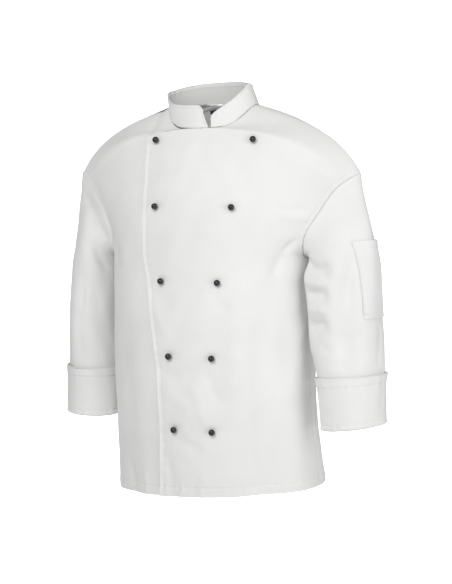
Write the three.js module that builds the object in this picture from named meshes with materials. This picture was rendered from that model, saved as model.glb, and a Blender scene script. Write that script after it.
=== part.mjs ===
// A double-breasted chef jacket, filled out as if worn and open at neck, hem and cuffs.
// Millimetres. +X is the wearer's left, -Y is the front and +Z is up.
// Everything is shaped about the body's upright axis, with height 0 at the side neck points.
// The group then moves the middle of the back neck seam to the origin.
import * as THREE from "three";

// Cloth walls: one layer with its seam allowances, and the doubled collar and cuffs.
const BODY_WALL = 1.6;
const COLLAR_WALL = 2.4;
const CUFF_WALL = 2.0;
const PATCH_WALL = 1.2;
const LABEL_WALL = 1.0;
const SEAM_GAP = 0.4;
const LAYER_GAP = 0.4;
const ARMHOLE_GAP = 0.5;
const FRONT_LAYER_GAP = 1.2;
const PATCH_GAP = 0.8;

// Neckline: an oval seam, lowest at the front.
const NECK_HALF_WIDTH = 87;
const NECK_HALF_DEPTH = 75;
const NECK_CENTRE_Y = -33;
const THROAT_HEIGHT = -45;
const NAPE_HEIGHT = 5;
const NAPE_Y = NECK_CENTRE_Y + NECK_HALF_DEPTH;

// Collar band, whose ends nearly meet a little to the wearer's left of the middle.
const COLLAR_HEIGHT = 42;
const COLLAR_LEFT_END = 15.5;
const COLLAR_RIGHT_END = 12.5;
const COLLAR_RIGHT_END_LEAN = 11;
const COLLAR_LEFT_CORNER = 12;
const COLLAR_RIGHT_CORNER = 6;
const COLLAR_END_STEPS = [0, 1.2, 3, 6, 12];
// Round the neck from the throat: how far its top edge has sunk and how far it leans inwards.
const COLLAR_TOP = [
  { angle: 0, drop: 17, lean: 10 },
  { angle: 18, drop: 13, lean: 10.5 },
  { angle: 36, drop: 3, lean: 11.5 },
  { angle: 60, drop: 1, lean: 12.5 },
  { angle: 110, drop: 5, lean: 14 },
  { angle: 165, drop: 0, lean: 10 },
  { angle: 210, drop: 2, lean: 6 },
  { angle: 245, drop: 8, lean: 1 },
  { angle: 275, drop: 15, lean: -2 },
  { angle: 300, drop: 11, lean: -2 },
  { angle: 335, drop: 1, lean: 3 },
  { angle: 375, drop: 1, lean: 5 },
];

// Heights of the hem and of the underarm, and how much higher the hem lies at each side seam.
const HEM_HEIGHT = -725;
const HEM_RISE = { left: 14, right: -12 };
const UNDERARM_HEIGHT = -285;

// The body's rings: how far the cloth lies from the axis on each side, front and back.
const BODY = [
  { z: -725, left: 210, right: 201, front: 148, back: 141 },
  { z: -660, left: 200, right: 203, front: 153, back: 139 },
  { z: -590, left: 192, right: 205, front: 158, back: 136 },
  { z: -500, left: 187, right: 208, front: 162, back: 132 },
  { z: -400, left: 185, right: 210, front: 161, back: 129 },
  { z: -285, left: 185, right: 210, front: 153, back: 127 },
  { z: -200, left: 185, right: 210, front: 144, back: 122 },
  { z: -120, left: 185, right: 210, front: 128, back: 109 },
  { z: -45, left: 185, right: 210, front: 108, back: 80 },
  { z: 5, left: 185, right: 210, front: 90, back: 42 },
];

// The armhole seam, once round: from the underarm up the front, over the shoulder and down.
const ARMHOLE = [
  { turn: 0.0, left: 185, right: 210, y: -4, z: -285 },
  { turn: 0.1, left: 182, right: 207, y: -44, z: -275 },
  { turn: 0.2, left: 191, right: 202, y: -62, z: -240 },
  { turn: 0.3, left: 218, right: 221, y: -58, z: -196 },
  { turn: 0.4, left: 246, right: 253, y: -42, z: -153 },
  { turn: 0.5, left: 281, right: 290, y: -12, z: -127 },
  { turn: 0.6, left: 252, right: 258, y: 32, z: -150 },
  { turn: 0.7, left: 223, right: 229, y: 58, z: -192 },
  { turn: 0.8, left: 198, right: 210, y: 64, z: -238 },
  { turn: 0.9, left: 185, right: 209, y: 40, z: -275 },
];

// Stages of the cloth on its way up the front, over the shoulder and down the back.
const HEM = 0;
const UNDERARM = 2;
const THROAT = 3;
const SHOULDER = 4;
const NAPE = 5;
const BACK_UNDERARM = 6;
const BACK_HEM = 8;

// The first column of a half that has its own neck edge: on its side of the middle.
const BESIDE_MIDDLE = 1e-9;
const BESIDE_ARMHOLE = 0.93;

// Where each stage's row ends on the armhole, and how square and how full the row is.
// corner is the distance out of the point that the row bends round, and dip is how far that
// point has come down from the height of the row's inner end to that of its outer end.
const ROWS = [
  { stage: 2.0, turn: 0.0, corner: 196, dip: 0.6, fullness: 0.6 },
  { stage: 2.2, turn: 0.075, corner: 188, dip: 0.5, fullness: 0.6 },
  { stage: 2.5, turn: 0.2, corner: 168, dip: 0.3, fullness: 0.56 },
  { stage: 3.0, turn: 0.39, corner: 195, dip: 0, fullness: 0.58 },
  { stage: 3.5, turn: 0.45, corner: 222, dip: 0, fullness: 0.7 },
  { stage: 4.0, turn: 0.5, corner: 241, dip: 0, fullness: 0.78 },
  { stage: 4.5, turn: 0.55, corner: 215, dip: 0.05, fullness: 0.68 },
  { stage: 5.0, turn: 0.61, corner: 175, dip: 0.15, fullness: 0.6 },
  { stage: 5.5, turn: 0.8, corner: 166, dip: 0.3, fullness: 0.57 },
  { stage: 5.8, turn: 0.925, corner: 188, dip: 0.5, fullness: 0.6 },
  { stage: 6.0, turn: 1.0, corner: 196, dip: 0.6, fullness: 0.6 },
];
const WALL_FULLNESS = ROWS[0].fullness;
const WALL_FADE = 0.95;
const WALL_SEARCH_STEPS = 8;
const SHOULDER_CORNER_Y = -20;
const SHOULDER_CORNER_HEIGHT = -49;

// The sleeves' sections: place of the middle, half sizes, how far the oval is turned and how
// much higher it lies outwards.
const SLEEVE_LEFT = [
  { z: -322, x: 256, y: -36, wide: 70, deep: 52, turned: 22, tilt: 0 },
  { z: -385, x: 259, y: -28, wide: 69, deep: 53, turned: 22, tilt: 0 },
  { z: -443, x: 262, y: -22, wide: 69, deep: 52, turned: 22, tilt: 0.05 },
  { z: -510, x: 273, y: -30, wide: 61, deep: 47, turned: 22, tilt: 0.1 },
  { z: -589, x: 281, y: -42, wide: 58, deep: 45, turned: 22, tilt: 0.13 },
];
const SLEEVE_RIGHT = [
  { z: -322, x: 266, y: 4, wide: 46, deep: 71, turned: 0, tilt: 0 },
  { z: -385, x: 269, y: 2, wide: 46, deep: 72, turned: 0, tilt: 0 },
  { z: -443, x: 272, y: -2, wide: 47, deep: 70, turned: 0, tilt: 0.02 },
  { z: -510, x: 269, y: -10, wide: 49, deep: 56, turned: 0, tilt: 0.03 },
  { z: -600, x: 267, y: -18, wide: 50, deep: 52, turned: 0, tilt: 0.04 },
];
// The ways that the sleeve leaves the armhole, and how far it keeps to them, in parts of the cap.
const SLEEVE_TOP_OUT = new THREE.Vector3(0.12, 0, -0.99);
const SLEEVE_BOTTOM_OUT = new THREE.Vector3(0.97, 0, 0.24);
const CAP_REACH = 0.33;
const CAP_RISE = 0.4;
const CAP_LOOK_DOWN = 20;

// Turned-back cuffs: how far the cloth stands off the sleeve at heights above the sleeve's end.
const CUFF_ROWS = [
  { up: 92, flare: 2.5 },
  { up: 69, flare: 1.5 },
  { up: 46, flare: 0.8 },
  { up: 23, flare: 0.4 },
  { up: 1, flare: 0 },
];

// Largest folds, each a soft trough or ridge along a straight run over the cloth. from and to are
// degrees: on the body from the front middle towards the wearer's left, and on a sleeve from the
// underarm round its front. out is how far the cloth stands out in the middle of the fold.
const BODY_FOLDS = [
  { from: 47, z: -315, to: 49, toZ: -860, width: 34, out: -9 },
  { from: 34, z: -300, to: 32, toZ: -560, width: 26, out: 3.5 },
  { from: 71, z: -300, to: 69, toZ: -860, width: 28, out: 4 },
  { from: 68, z: -235, to: 52, toZ: -345, width: 20, out: -6 },
  { from: 64, z: -110, to: 24, toZ: -270, width: 36, out: -4 },
  { from: -52, z: -330, to: -47, toZ: -860, width: 32, out: -4 },
  { from: -125, z: -290, to: -120, toZ: -880, width: 36, out: -7 },
  { from: -148, z: -330, to: -144, toZ: -880, width: 32, out: 4 },
  { from: 122, z: -300, to: 128, toZ: -880, width: 34, out: -7 },
  { from: 150, z: -330, to: 152, toZ: -880, width: 34, out: 4 },
  { from: 178, z: -150, to: 172, toZ: -480, width: 44, out: -5 },
];
const SLEEVE_FOLDS = {
  left: [
    { from: 150, z: -215, to: 106, toZ: -365, width: 20, out: -6 },
    { from: 116, z: -300, to: 98, toZ: -510, width: 19, out: -6 },
    { from: 92, z: -315, to: 76, toZ: -500, width: 20, out: 3.5 },
    { from: 25, z: -296, to: 98, toZ: -306, width: 18, out: -6 },
    { from: 30, z: -350, to: 92, toZ: -346, width: 17, out: -5 },
    { from: 25, z: -412, to: 88, toZ: -402, width: 17, out: -4.5 },
    { from: 184, z: -340, to: 158, toZ: -530, width: 22, out: -3 },
    { from: 178, z: -480, to: 138, toZ: -640, width: 24, out: -3.5 },
    { from: 250, z: -290, to: 285, toZ: -480, width: 22, out: -5 },
  ],
  right: [
    { from: 172, z: -135, to: 8, toZ: -335, width: 19, out: -7 },
    { from: 165, z: -190, to: 30, toZ: -350, width: 19, out: 3.5 },
    { from: 90, z: -300, to: 84, toZ: -520, width: 20, out: -3.5 },
    { from: 152, z: -390, to: 122, toZ: -580, width: 22, out: -3 },
    { from: 250, z: -260, to: 300, toZ: -440, width: 22, out: -5 },
  ],
};
const BODY_FOLD_RADIUS = 180;
const SLEEVE_FOLD_RADIUS = 60;
const FOLD_END_FADE = 0.3;
// Folds die out towards the armhole seam, over these parts of a row and of the sleeve's cap.
const ARMHOLE_CALM = 0.16;
const SEAM_CALM = 0.22;
const BELOW_ARMHOLE_CALM = 0.2;

// The top front's free edge, which lies on the wearer's right.
const OVERLAP = [
  { z: -725, out: 64 },
  { z: -600, out: 60 },
  { z: -470, out: 66 },
  { z: -400, out: 77 },
  { z: -325, out: 88 },
  { z: -285, out: 97 },
  { z: -190, out: 103 },
  { z: -47, out: 105 },
];
const UNDER_BLEND = 60;

// Ball buttons: height of each row and how far each column lies from the middle.
const BUTTON_ROWS = [
  { z: -67, left: 105, right: 84 },
  { z: -189, left: 75, right: 74 },
  { z: -325, left: 55, right: 55 },
  { z: -462, left: 47, right: 36 },
  { z: -598, left: 46, right: 28 },
];
const BUTTON_RADIUS = 6;
const BUTTON_SHANK_RADIUS = 2;
const BUTTON_SHANK_LENGTH = 1.6;

// Patch pocket on the outer side of the left sleeve.
const POCKET_TOP = -249;
const POCKET_FRONT_TURN = 0.38;
const POCKET_LENGTH = 140;

// Plain label inside the back neck.
const LABEL_HALF_WIDTH = 41;
const LABEL_HEIGHT = 22;
const LABEL_DROP = 2;
const LABEL_GAP = 1.3;

// How finely each piece is divided.
const BODY_COLUMNS = 13;
const OVERLAP_COLUMNS = 6;
const LOWER_ROWS = 10;
const CHEST_ROWS = 9;
const SHOULDER_ROWS = 6;
const SLEEVE_CAP_ROWS = 8;
const SLEEVE_ROWS = 11;
const COLLAR_COLUMNS = 44;
const COLLAR_ROWS = 3;
const POCKET_ROWS = 7;
const LABEL_COLUMNS = 4;
const BUTTON_SIDES = 12;
const BUTTON_BALL_STEPS = 7;

const CLOTH = { color: 0xedeeec, roughness: 0.92, metalness: 0 };
const LABEL_CLOTH = { color: 0x2b3a67, roughness: 0.8, metalness: 0 };
const BUTTON_PLASTIC = { color: 0x0b0b0c, roughness: 0.2, metalness: 0 };

const lerp = THREE.MathUtils.lerp;
const clamp = THREE.MathUtils.clamp;

// Value of one column of a table, on a smooth curve through its rows.
function read(rows, key, column, at) {
  const last = rows.length - 1;
  let i = 0;
  while (i < last - 1 && at > rows[i + 1][key]) i += 1;
  const slope = (j) => {
    const before = rows[Math.max(j - 1, 0)];
    const after = rows[Math.min(j + 1, last)];
    return (after[column] - before[column]) / (after[key] - before[key]);
  };
  const span = rows[i + 1][key] - rows[i][key];
  const t = clamp((at - rows[i][key]) / span, 0, 1);
  const rise = t * t * (3 - 2 * t);
  const leave = t * (1 - t) * (1 - t);
  const arrive = t * t * (t - 1);
  return (
    lerp(rows[i][column], rows[i + 1][column], rise) +
    span * (slope(i) * leave + slope(i + 1) * arrive)
  );
}

// The armhole table once more before and after, so that its curve closes smoothly.
const ARMHOLE_ROUND = [-1, 0, 1].flatMap((lap) =>
  ARMHOLE.map((row) => ({ ...row, turn: row.turn + lap })),
);

// Tables that are listed downwards are read upwards.
const upwards = (rows) => [...rows].sort((a, b) => a.z - b.z);
const SLEEVE_SECTIONS = { left: upwards(SLEEVE_LEFT), right: upwards(SLEEVE_RIGHT) };

function armholePoint(side, turn) {
  return new THREE.Vector3(
    read(ARMHOLE_ROUND, "turn", side, turn),
    read(ARMHOLE_ROUND, "turn", "y", turn),
    read(ARMHOLE_ROUND, "turn", "z", turn),
  );
}

// Neck seam, at an angle of 0 at the throat and 180 degrees at the nape.
function neckPoint(angle) {
  const [aside, along] = [Math.sin(angle), Math.cos(angle)];
  const end = along > 0 ? THROAT_HEIGHT : NAPE_HEIGHT;
  return new THREE.Vector3(
    NECK_HALF_WIDTH * aside,
    NECK_CENTRE_Y - NECK_HALF_DEPTH * along,
    end * (1 - aside ** 4),
  );
}

// Height on the centre line of the front or back at a stage below the neck.
function centreHeight(stage) {
  const front = stage < SHOULDER;
  const up = front ? stage : BACK_HEM - stage;
  const top = front ? THROAT_HEIGHT : NAPE_HEIGHT;
  if (up <= UNDERARM) return lerp(HEM_HEIGHT, UNDERARM_HEIGHT, up / UNDERARM);
  return lerp(UNDERARM_HEIGHT, top, up - UNDERARM);
}

// A row's inner end: on the centre line, or on the neck seam above it.
function innerEnd(stage) {
  if (stage > THROAT && stage < NAPE) {
    return neckPoint(((stage - THROAT) / (NAPE - THROAT)) * Math.PI);
  }
  const z = centreHeight(stage);
  return new THREE.Vector3(0, centreDepth(stage, z), z);
}

// The middle of the front or back at a height.
function centreDepth(stage, z) {
  return stage < SHOULDER ? -read(BODY, "z", "front", z) : read(BODY, "z", "back", z);
}

// A row's outer end: on the side seam, or on the armhole above it.
function outerEnd(side, stage) {
  if (stage > UNDERARM && stage < BACK_UNDERARM) {
    return armholePoint(side, read(ROWS, "stage", "turn", stage));
  }
  const z = centreHeight(stage);
  const below = (stage < SHOULDER ? UNDERARM - stage : stage - BACK_UNDERARM) / UNDERARM;
  return new THREE.Vector3(read(BODY, "z", side, z), ARMHOLE[0].y, z + HEM_RISE[side] * below);
}

// The point that a row bends round.
function cornerPoint(side, stage, inner, outer) {
  if (stage <= UNDERARM || stage >= BACK_UNDERARM) {
    return new THREE.Vector3(outer.x, inner.y, outer.z);
  }
  const widened = read(BODY, "z", side, UNDERARM_HEIGHT) / ROWS[0].corner;
  const near = Math.min(Math.abs(stage - UNDERARM), Math.abs(BACK_UNDERARM - stage));
  const out = read(ROWS, "stage", "corner", stage) * lerp(widened, 1, clamp(near, 0, 1));
  const z = lerp(inner.z, outer.z, read(ROWS, "stage", "dip", stage));
  if (stage > THROAT && stage < NAPE) {
    const lift = Math.sin(((1 - Math.abs(stage - SHOULDER)) * Math.PI) / 2) ** 2;
    return new THREE.Vector3(
      out,
      lerp(inner.y, SHOULDER_CORNER_Y, lift),
      lerp(z, SHOULDER_CORNER_HEIGHT, lift),
    );
  }
  return new THREE.Vector3(out, centreDepth(stage, z), z);
}

function onCurve(a, b, c, d, t) {
  const rest = 1 - t;
  return new THREE.Vector3()
    .addScaledVector(a, rest * rest * rest)
    .addScaledVector(b, 3 * t * rest * rest)
    .addScaledVector(c, 3 * t * t * rest)
    .addScaledVector(d, t * t * t);
}

// The body's plain wall at a height, as if it went on up past the armhole. along is 0 in the
// middle and 1 at the side.
function wallPoint(side, stage, z, along) {
  const middle = new THREE.Vector3(0, centreDepth(stage, z), z);
  const end = new THREE.Vector3(read(BODY, "z", side, z), ARMHOLE[0].y, z);
  const corner = new THREE.Vector3(end.x, middle.y, z);
  return onCurve(
    middle,
    middle.clone().lerp(corner, WALL_FULLNESS),
    end.clone().lerp(corner, WALL_FULLNESS),
    end,
    along,
  );
}

// How far along the plain wall its depth comes to the armhole's edge.
function wallReach(stage, outer) {
  const middle = centreDepth(stage, outer.z);
  const share = clamp((outer.y - middle) / (ARMHOLE[0].y - middle), 0, 1);
  const bend = 3 * (1 - WALL_FULLNESS);
  let along = 1;
  for (let i = 0; i < WALL_SEARCH_STEPS; i += 1) {
    along = Math.sqrt(share / (bend - (bend - 1) * along));
  }
  return along;
}

// The body's outer face. across runs from -1, on the wearer's right, to 1, on the left. Just above
// the underarm it still follows the plain wall, and it takes the chest's own form higher up.
function bodyPoint(stage, across) {
  const side = across < 0 ? "right" : "left";
  const away = Math.abs(across);
  const inner = innerEnd(stage);
  const outer = outerEnd(side, stage);
  const corner = cornerPoint(side, stage, inner, outer);
  const fullness = read(ROWS, "stage", "fullness", clamp(stage, UNDERARM, BACK_UNDERARM));
  const point = onCurve(
    inner,
    inner.clone().lerp(corner, fullness),
    outer.clone().lerp(corner, fullness),
    outer,
    away,
  );
  const above = Math.min(stage - UNDERARM, BACK_UNDERARM - stage);
  if (above > 0 && above < WALL_FADE) {
    const reach = wallReach(stage, outer);
    const miss = outer.clone().sub(wallPoint(side, stage, outer.z, reach));
    const wall = wallPoint(side, stage, point.z, away * reach);
    wall.addScaledVector(miss.setZ(0), away ** 3);
    point.lerp(wall, 1 - THREE.MathUtils.smootherstep(above, 0, WALL_FADE));
  }
  if (across < 0) point.x = -point.x;
  return point;
}

// The unit normal of a surface, by small steps on it: the way v runs, crossed with the way u runs.
function normalOf(surface, u, v, vRange = [-Infinity, Infinity]) {
  const step = 1e-3;
  const low = Math.max(v - step, vRange[0]);
  const high = Math.min(v + step, vRange[1]);
  const alongU = surface(u + step, v).sub(surface(u - step, v));
  const alongV = surface(u, high).sub(surface(u, low));
  return alongV.cross(alongU).normalize();
}

// The body's outward normal. A row that ends on the neck seam has a form of its own on each side,
// and beside the armhole the normal is that of the cloth just inside the edge.
function bodyNormal(stage, across) {
  const split = stage > THROAT - 0.01 && stage < NAPE + 0.01;
  const range = split ? (across < 0 ? [-1, -BESIDE_MIDDLE] : [0, 1]) : [-1, 1];
  const most = stage > UNDERARM && stage < BACK_UNDERARM ? BESIDE_ARMHOLE : 1;
  const at = clamp(across, -most, most);
  return normalOf(bodyPoint, clamp(stage, HEM + 0.01, BACK_HEM - 0.01), at, range);
}

const ease = (t) => THREE.MathUtils.smoothstep(t, 0, 1);

// How far a table's folds move the cloth out, at an angle round it and a height.
function foldOut(folds, radius, around, z) {
  const perDegree = THREE.MathUtils.degToRad(radius);
  let total = 0;
  for (const fold of folds) {
    const run = [(fold.to - fold.from) * perDegree, fold.toZ - fold.z];
    const turned = THREE.MathUtils.euclideanModulo(around - fold.from + 180, 360) - 180;
    const here = [turned * perDegree, z - fold.z];
    const length = Math.hypot(...run);
    const along = (here[0] * run[0] + here[1] * run[1]) / length ** 2;
    const aside = (here[0] * run[1] - here[1] * run[0]) / length;
    const strength = ease(Math.min(along, 1 - along) / FOLD_END_FADE);
    total += fold.out * strength * Math.exp(-((aside / fold.width) ** 2));
  }
  return total;
}

// The body's outer face with its folds in it.
function foldedBody(stage, across) {
  const point = bodyPoint(stage, across);
  const around = THREE.MathUtils.radToDeg(Math.atan2(point.x, -point.y));
  const inside = Math.min(stage - UNDERARM, BACK_UNDERARM - stage);
  const beside = ease(1 + inside / BELOW_ARMHOLE_CALM);
  const calm = 1 - beside * (1 - ease((1 - Math.abs(across)) / ARMHOLE_CALM));
  const out = calm * foldOut(BODY_FOLDS, BODY_FOLD_RADIUS, around, point.z);
  return point.addScaledVector(bodyNormal(stage, across), out);
}

// Halves a range until it finds where a rising test turns true.
function halve(low, high, isBelow) {
  for (let i = 0; i < 30; i += 1) {
    const middle = (low + high) / 2;
    if (isBelow(middle)) low = middle;
    else high = middle;
  }
  return (low + high) / 2;
}

// How far across a row of the body lies a distance out from the middle.
function acrossAtWidth(stage, x) {
  const sign = x < 0 ? -1 : 1;
  const found = halve(0, 1, (t) => Math.abs(bodyPoint(stage, sign * t).x) < Math.abs(x));
  return sign * found;
}

// The stage and column at which the front has a given distance out and height.
function findOnFront(x, z) {
  const stage = halve(HEM, THROAT, (t) => bodyPoint(t, acrossAtWidth(t, x)).z < z);
  return [stage, acrossAtWidth(stage, x)];
}

// Numbers from one value to another in equal steps.
function steps(from, to, count) {
  return Array.from({ length: count + 1 }, (_, i) => lerp(from, to, i / count));
}

// A layer of cloth: rows of points on its outer face, each paired with one on its inner face.
// depths are measured inwards from the surface, and may depend on the point.
function layer(rowValues, columnValuesOf, pointAt, normalAt, outerDepth, innerDepth) {
  const depthOf = (depth, point) => (typeof depth === "function" ? depth(point) : depth);
  return rowValues.map((row) =>
    columnValuesOf(row).map((column) => {
      const point = pointAt(row, column);
      const normal = normalAt(row, column);
      return {
        outer: point.clone().addScaledVector(normal, -depthOf(outerDepth, point)),
        inner: point.clone().addScaledVector(normal, -depthOf(innerDepth, point)),
      };
    }),
  );
}

// Draws one rim of a layer back by half of the gap that a seam keeps.
function drawBack(rim, beside) {
  rim.forEach((pair, i) => {
    for (const face of ["outer", "inner"]) {
      const away = beside[i][face].clone().sub(pair[face]).setLength(SEAM_GAP / 2);
      pair[face].add(away);
    }
  });
}
const columnOf = (grid, j) => grid.map((row) => row.at(j));

// One closed solid from layers that share their common points, walled in along their free edges.
function clothSolid(...grids) {
  const pairs = [];
  const indexOf = new Map();
  const enter = (pair) => {
    const key = pair.outer.toArray().map((value) => Math.round(value * 1000)).join();
    if (!indexOf.has(key)) {
      indexOf.set(key, pairs.length);
      pairs.push(pair);
    }
    return indexOf.get(key);
  };
  const faces = [];
  for (const grid of grids) {
    for (let i = 1; i < grid.length; i += 1) {
      for (let j = 1; j < grid[i].length; j += 1) {
        const square = [grid[i - 1][j - 1], grid[i - 1][j], grid[i][j], grid[i][j - 1]];
        const corners = square.map(enter).filter((c, k, all) => c !== all[(k + 1) % all.length]);
        if (corners.length > 2) faces.push(corners);
      }
    }
  }
  const edges = new Set();
  const eachEdge = (face, visit) => face.forEach((a, k) => visit(a, face[(k + 1) % face.length]));
  for (const face of faces) eachEdge(face, (a, b) => edges.add(`${a}_${b}`));
  const count = pairs.length;
  const triangles = [];
  const addFace = (face) => {
    for (let k = 2; k < face.length; k += 1) triangles.push([face[0], face[k - 1], face[k]]);
  };
  for (const face of faces) {
    addFace(face);
    addFace(face.map((a) => a + count).reverse());
    eachEdge(face, (a, b) => {
      if (!edges.has(`${b}_${a}`)) addFace([b, a, a + count, b + count]);
    });
  }
  const corners = [...pairs.map((pair) => pair.outer), ...pairs.map((pair) => pair.inner)];
  return closedGeometry(corners, triangles);
}

// A geometry from corners and triangles, with its faces turned outwards.
function closedGeometry(corners, triangles) {
  let volume = 0;
  for (const [a, b, c] of triangles) volume += corners[a].dot(corners[b].clone().cross(corners[c]));
  const ordered = volume < 0 ? triangles.map(([a, b, c]) => [a, c, b]) : triangles;
  const geometry = new THREE.BufferGeometry();
  geometry.setAttribute(
    "position",
    new THREE.Float32BufferAttribute(corners.flatMap((corner) => corner.toArray()), 3),
  );
  geometry.setIndex(ordered.flat());
  geometry.computeVertexNormals();
  return geometry;
}

// Stages of the rows that divide the body, from the front hem over the shoulder to the back hem.
const FRONT_STAGES = [
  ...steps(HEM, UNDERARM, LOWER_ROWS),
  ...steps(UNDERARM, THROAT, CHEST_ROWS).slice(1),
  ...steps(THROAT, SHOULDER, SHOULDER_ROWS).slice(1),
];
const YOKE_STAGES = steps(SHOULDER, NAPE, SHOULDER_ROWS);
const BACK_STAGES = [
  ...steps(NAPE, BACK_UNDERARM, CHEST_ROWS),
  ...steps(BACK_UNDERARM, BACK_HEM, LOWER_ROWS).slice(1),
];

// Turns of the armhole where those rows end. The sleeve is divided there too.
const ARMHOLE_TURNS = [...FRONT_STAGES, ...YOKE_STAGES.slice(1), ...BACK_STAGES.slice(1)]
  .filter((stage) => stage >= UNDERARM && stage < BACK_UNDERARM)
  .map((stage) => read(ROWS, "stage", "turn", stage));
const SLEEVE_TURNS = [...ARMHOLE_TURNS, ARMHOLE_TURNS[0]];

// A front panel with its overlap. sign is 1 for the wearer's left front and -1 for the right one.
function frontPanel(sign, depth) {
  const stages = FRONT_STAGES;
  const build = (rows, columnsOf) =>
    layer(rows, columnsOf, foldedBody, bodyNormal, depth, (point) => depth(point) + BODY_WALL);
  const main = build(stages, () => steps(sign * BESIDE_MIDDLE, sign, BODY_COLUMNS));
  const sideSeam = stages.filter((stage) => stage <= UNDERARM).length;
  drawBack(columnOf(main, -1).slice(0, sideSeam), columnOf(main, -2));
  drawBack(main.at(-1), main.at(-2));
  const overlapRows = stages.filter((stage) => stage <= THROAT);
  const overlap = build(overlapRows, (stage) => {
    const edge = read(OVERLAP, "z", "out", centreHeight(stage));
    return steps(acrossAtWidth(stage, -sign * edge), 0, OVERLAP_COLUMNS);
  });
  return clothSolid(main, overlap);
}

// The under front lies one layer deeper wherever the top front covers it.
function underDepth(point) {
  const edge = read(OVERLAP, "z", "out", clamp(point.z, HEM_HEIGHT, OVERLAP.at(-1).z));
  const covered = clamp((point.x + edge) / UNDER_BLEND + 1, 0, 1);
  return (BODY_WALL + FRONT_LAYER_GAP) * covered * covered * (3 - 2 * covered);
}

// The back: a yoke behind each side of the neck, and one width of cloth below the nape.
function backPanel() {
  const build = (rows, columns) =>
    layer(rows, () => columns, foldedBody, bodyNormal, 0, BODY_WALL);
  const yokes = [-1, 1].map((sign) => build(YOKE_STAGES, steps(sign * BESIDE_MIDDLE, sign, BODY_COLUMNS)));
  for (const half of yokes) drawBack(half[0], half[1]);
  const width = build(BACK_STAGES, steps(-1, 1, 2 * BODY_COLUMNS));
  const seamStart = BACK_STAGES.filter((stage) => stage < BACK_UNDERARM).length;
  drawBack(columnOf(width, 0).slice(seamStart), columnOf(width, 1).slice(seamStart));
  drawBack(columnOf(width, -1).slice(seamStart), columnOf(width, -2).slice(seamStart));
  const [right, left] = yokes;
  return clothSolid(right.map((row) => row.reverse()), left, width);
}

// The sleeve's oval at a height, in the wearer's left form. Half a turn is the outermost point.
function sectionPoint(side, turn, z) {
  const table = SLEEVE_SECTIONS[side];
  const value = (column) => read(table, "z", column, z);
  const turned = THREE.MathUtils.degToRad(value("turned"));
  const angle = (turn - 0.5) * 2 * Math.PI - turned;
  const along = value("wide") * Math.cos(angle);
  const away = value("deep") * Math.sin(angle);
  const outwards = along * Math.cos(turned) - away * Math.sin(turned);
  return new THREE.Vector3(
    value("x") + outwards,
    value("y") + along * Math.sin(turned) + away * Math.cos(turned),
    z + value("tilt") * outwards,
  );
}

// Where the body's edge is at a turn of the armhole, and which way the sleeve leaves it.
function armholeEdge(side, turn) {
  const whole = turn - Math.floor(turn);
  const stage = halve(UNDERARM, BACK_UNDERARM, (t) => read(ROWS, "stage", "turn", t) < whole);
  const sign = side === "left" ? 1 : -1;
  const normal = bodyNormal(stage, sign);
  normal.x *= sign;
  const along = armholePoint(side, turn + 1e-3).sub(armholePoint(side, turn - 1e-3));
  const beyond = along.cross(normal).normalize();
  return { normal, start: armholePoint(side, turn).addScaledVector(beyond, ARMHOLE_GAP) };
}

// The sleeve's outer face. down is 0 at the armhole, 1 at the first section and 2 at the end.
function sleevePoint(side, turn, down) {
  const sections = SLEEVE_SECTIONS[side];
  const [endZ, capZ] = [sections[0].z, sections.at(-1).z];
  if (down >= 1) return sectionPoint(side, turn, lerp(capZ, endZ, down - 1));
  const { start } = armholeEdge(side, turn);
  const end = sectionPoint(side, turn, capZ);
  const upwards = end.clone().sub(sectionPoint(side, turn, capZ - CAP_LOOK_DOWN)).normalize();
  const low = (1 + Math.cos(2 * Math.PI * turn)) / 2;
  const out = SLEEVE_TOP_OUT.clone().lerp(SLEEVE_BOTTOM_OUT, low).normalize();
  const span = start.distanceTo(end);
  const leave = start.clone().addScaledVector(out, span * CAP_REACH);
  const arrive = end.clone().addScaledVector(upwards, span * CAP_RISE);
  return onCurve(start, leave, arrive, end, down);
}

function sleeveNormal(side, turn, down) {
  if (down === 0) return armholeEdge(side, turn).normal;
  return normalOf((t, d) => sleevePoint(side, t, d), turn, down, [0, 2]);
}

// How far the sleeve's folds move it out.
function sleeveFold(side, turn, down, z) {
  const out = foldOut(SLEEVE_FOLDS[side], SLEEVE_FOLD_RADIUS, turn * 360, z);
  return out * ease(down / SEAM_CALM);
}

// The sleeve's outer face with its folds in it.
function foldedSleeve(side, turn, down) {
  const point = sleevePoint(side, turn, down);
  const out = sleeveFold(side, turn, down, point.z);
  return point.addScaledVector(sleeveNormal(side, turn, down), out);
}

// Turns a geometry that was made in the wearer's left form into the right one.
function forSide(side, geometry) {
  if (side === "left") return geometry;
  const flipped = geometry.clone().scale(-1, 1, 1);
  const order = [...flipped.index.array];
  for (let i = 0; i < order.length; i += 3) [order[i], order[i + 1]] = [order[i + 1], order[i]];
  flipped.setIndex(order);
  flipped.computeVertexNormals();
  return flipped;
}

function sleeve(side) {
  const rows = [...steps(0, 1, SLEEVE_CAP_ROWS), ...steps(1, 2, SLEEVE_ROWS).slice(1)];
  const grid = layer(
    rows,
    () => SLEEVE_TURNS,
    (down, turn) => foldedSleeve(side, turn, down),
    (down, turn) => sleeveNormal(side, turn, down),
    0,
    BODY_WALL,
  );
  return forSide(side, clothSolid(grid));
}

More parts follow.
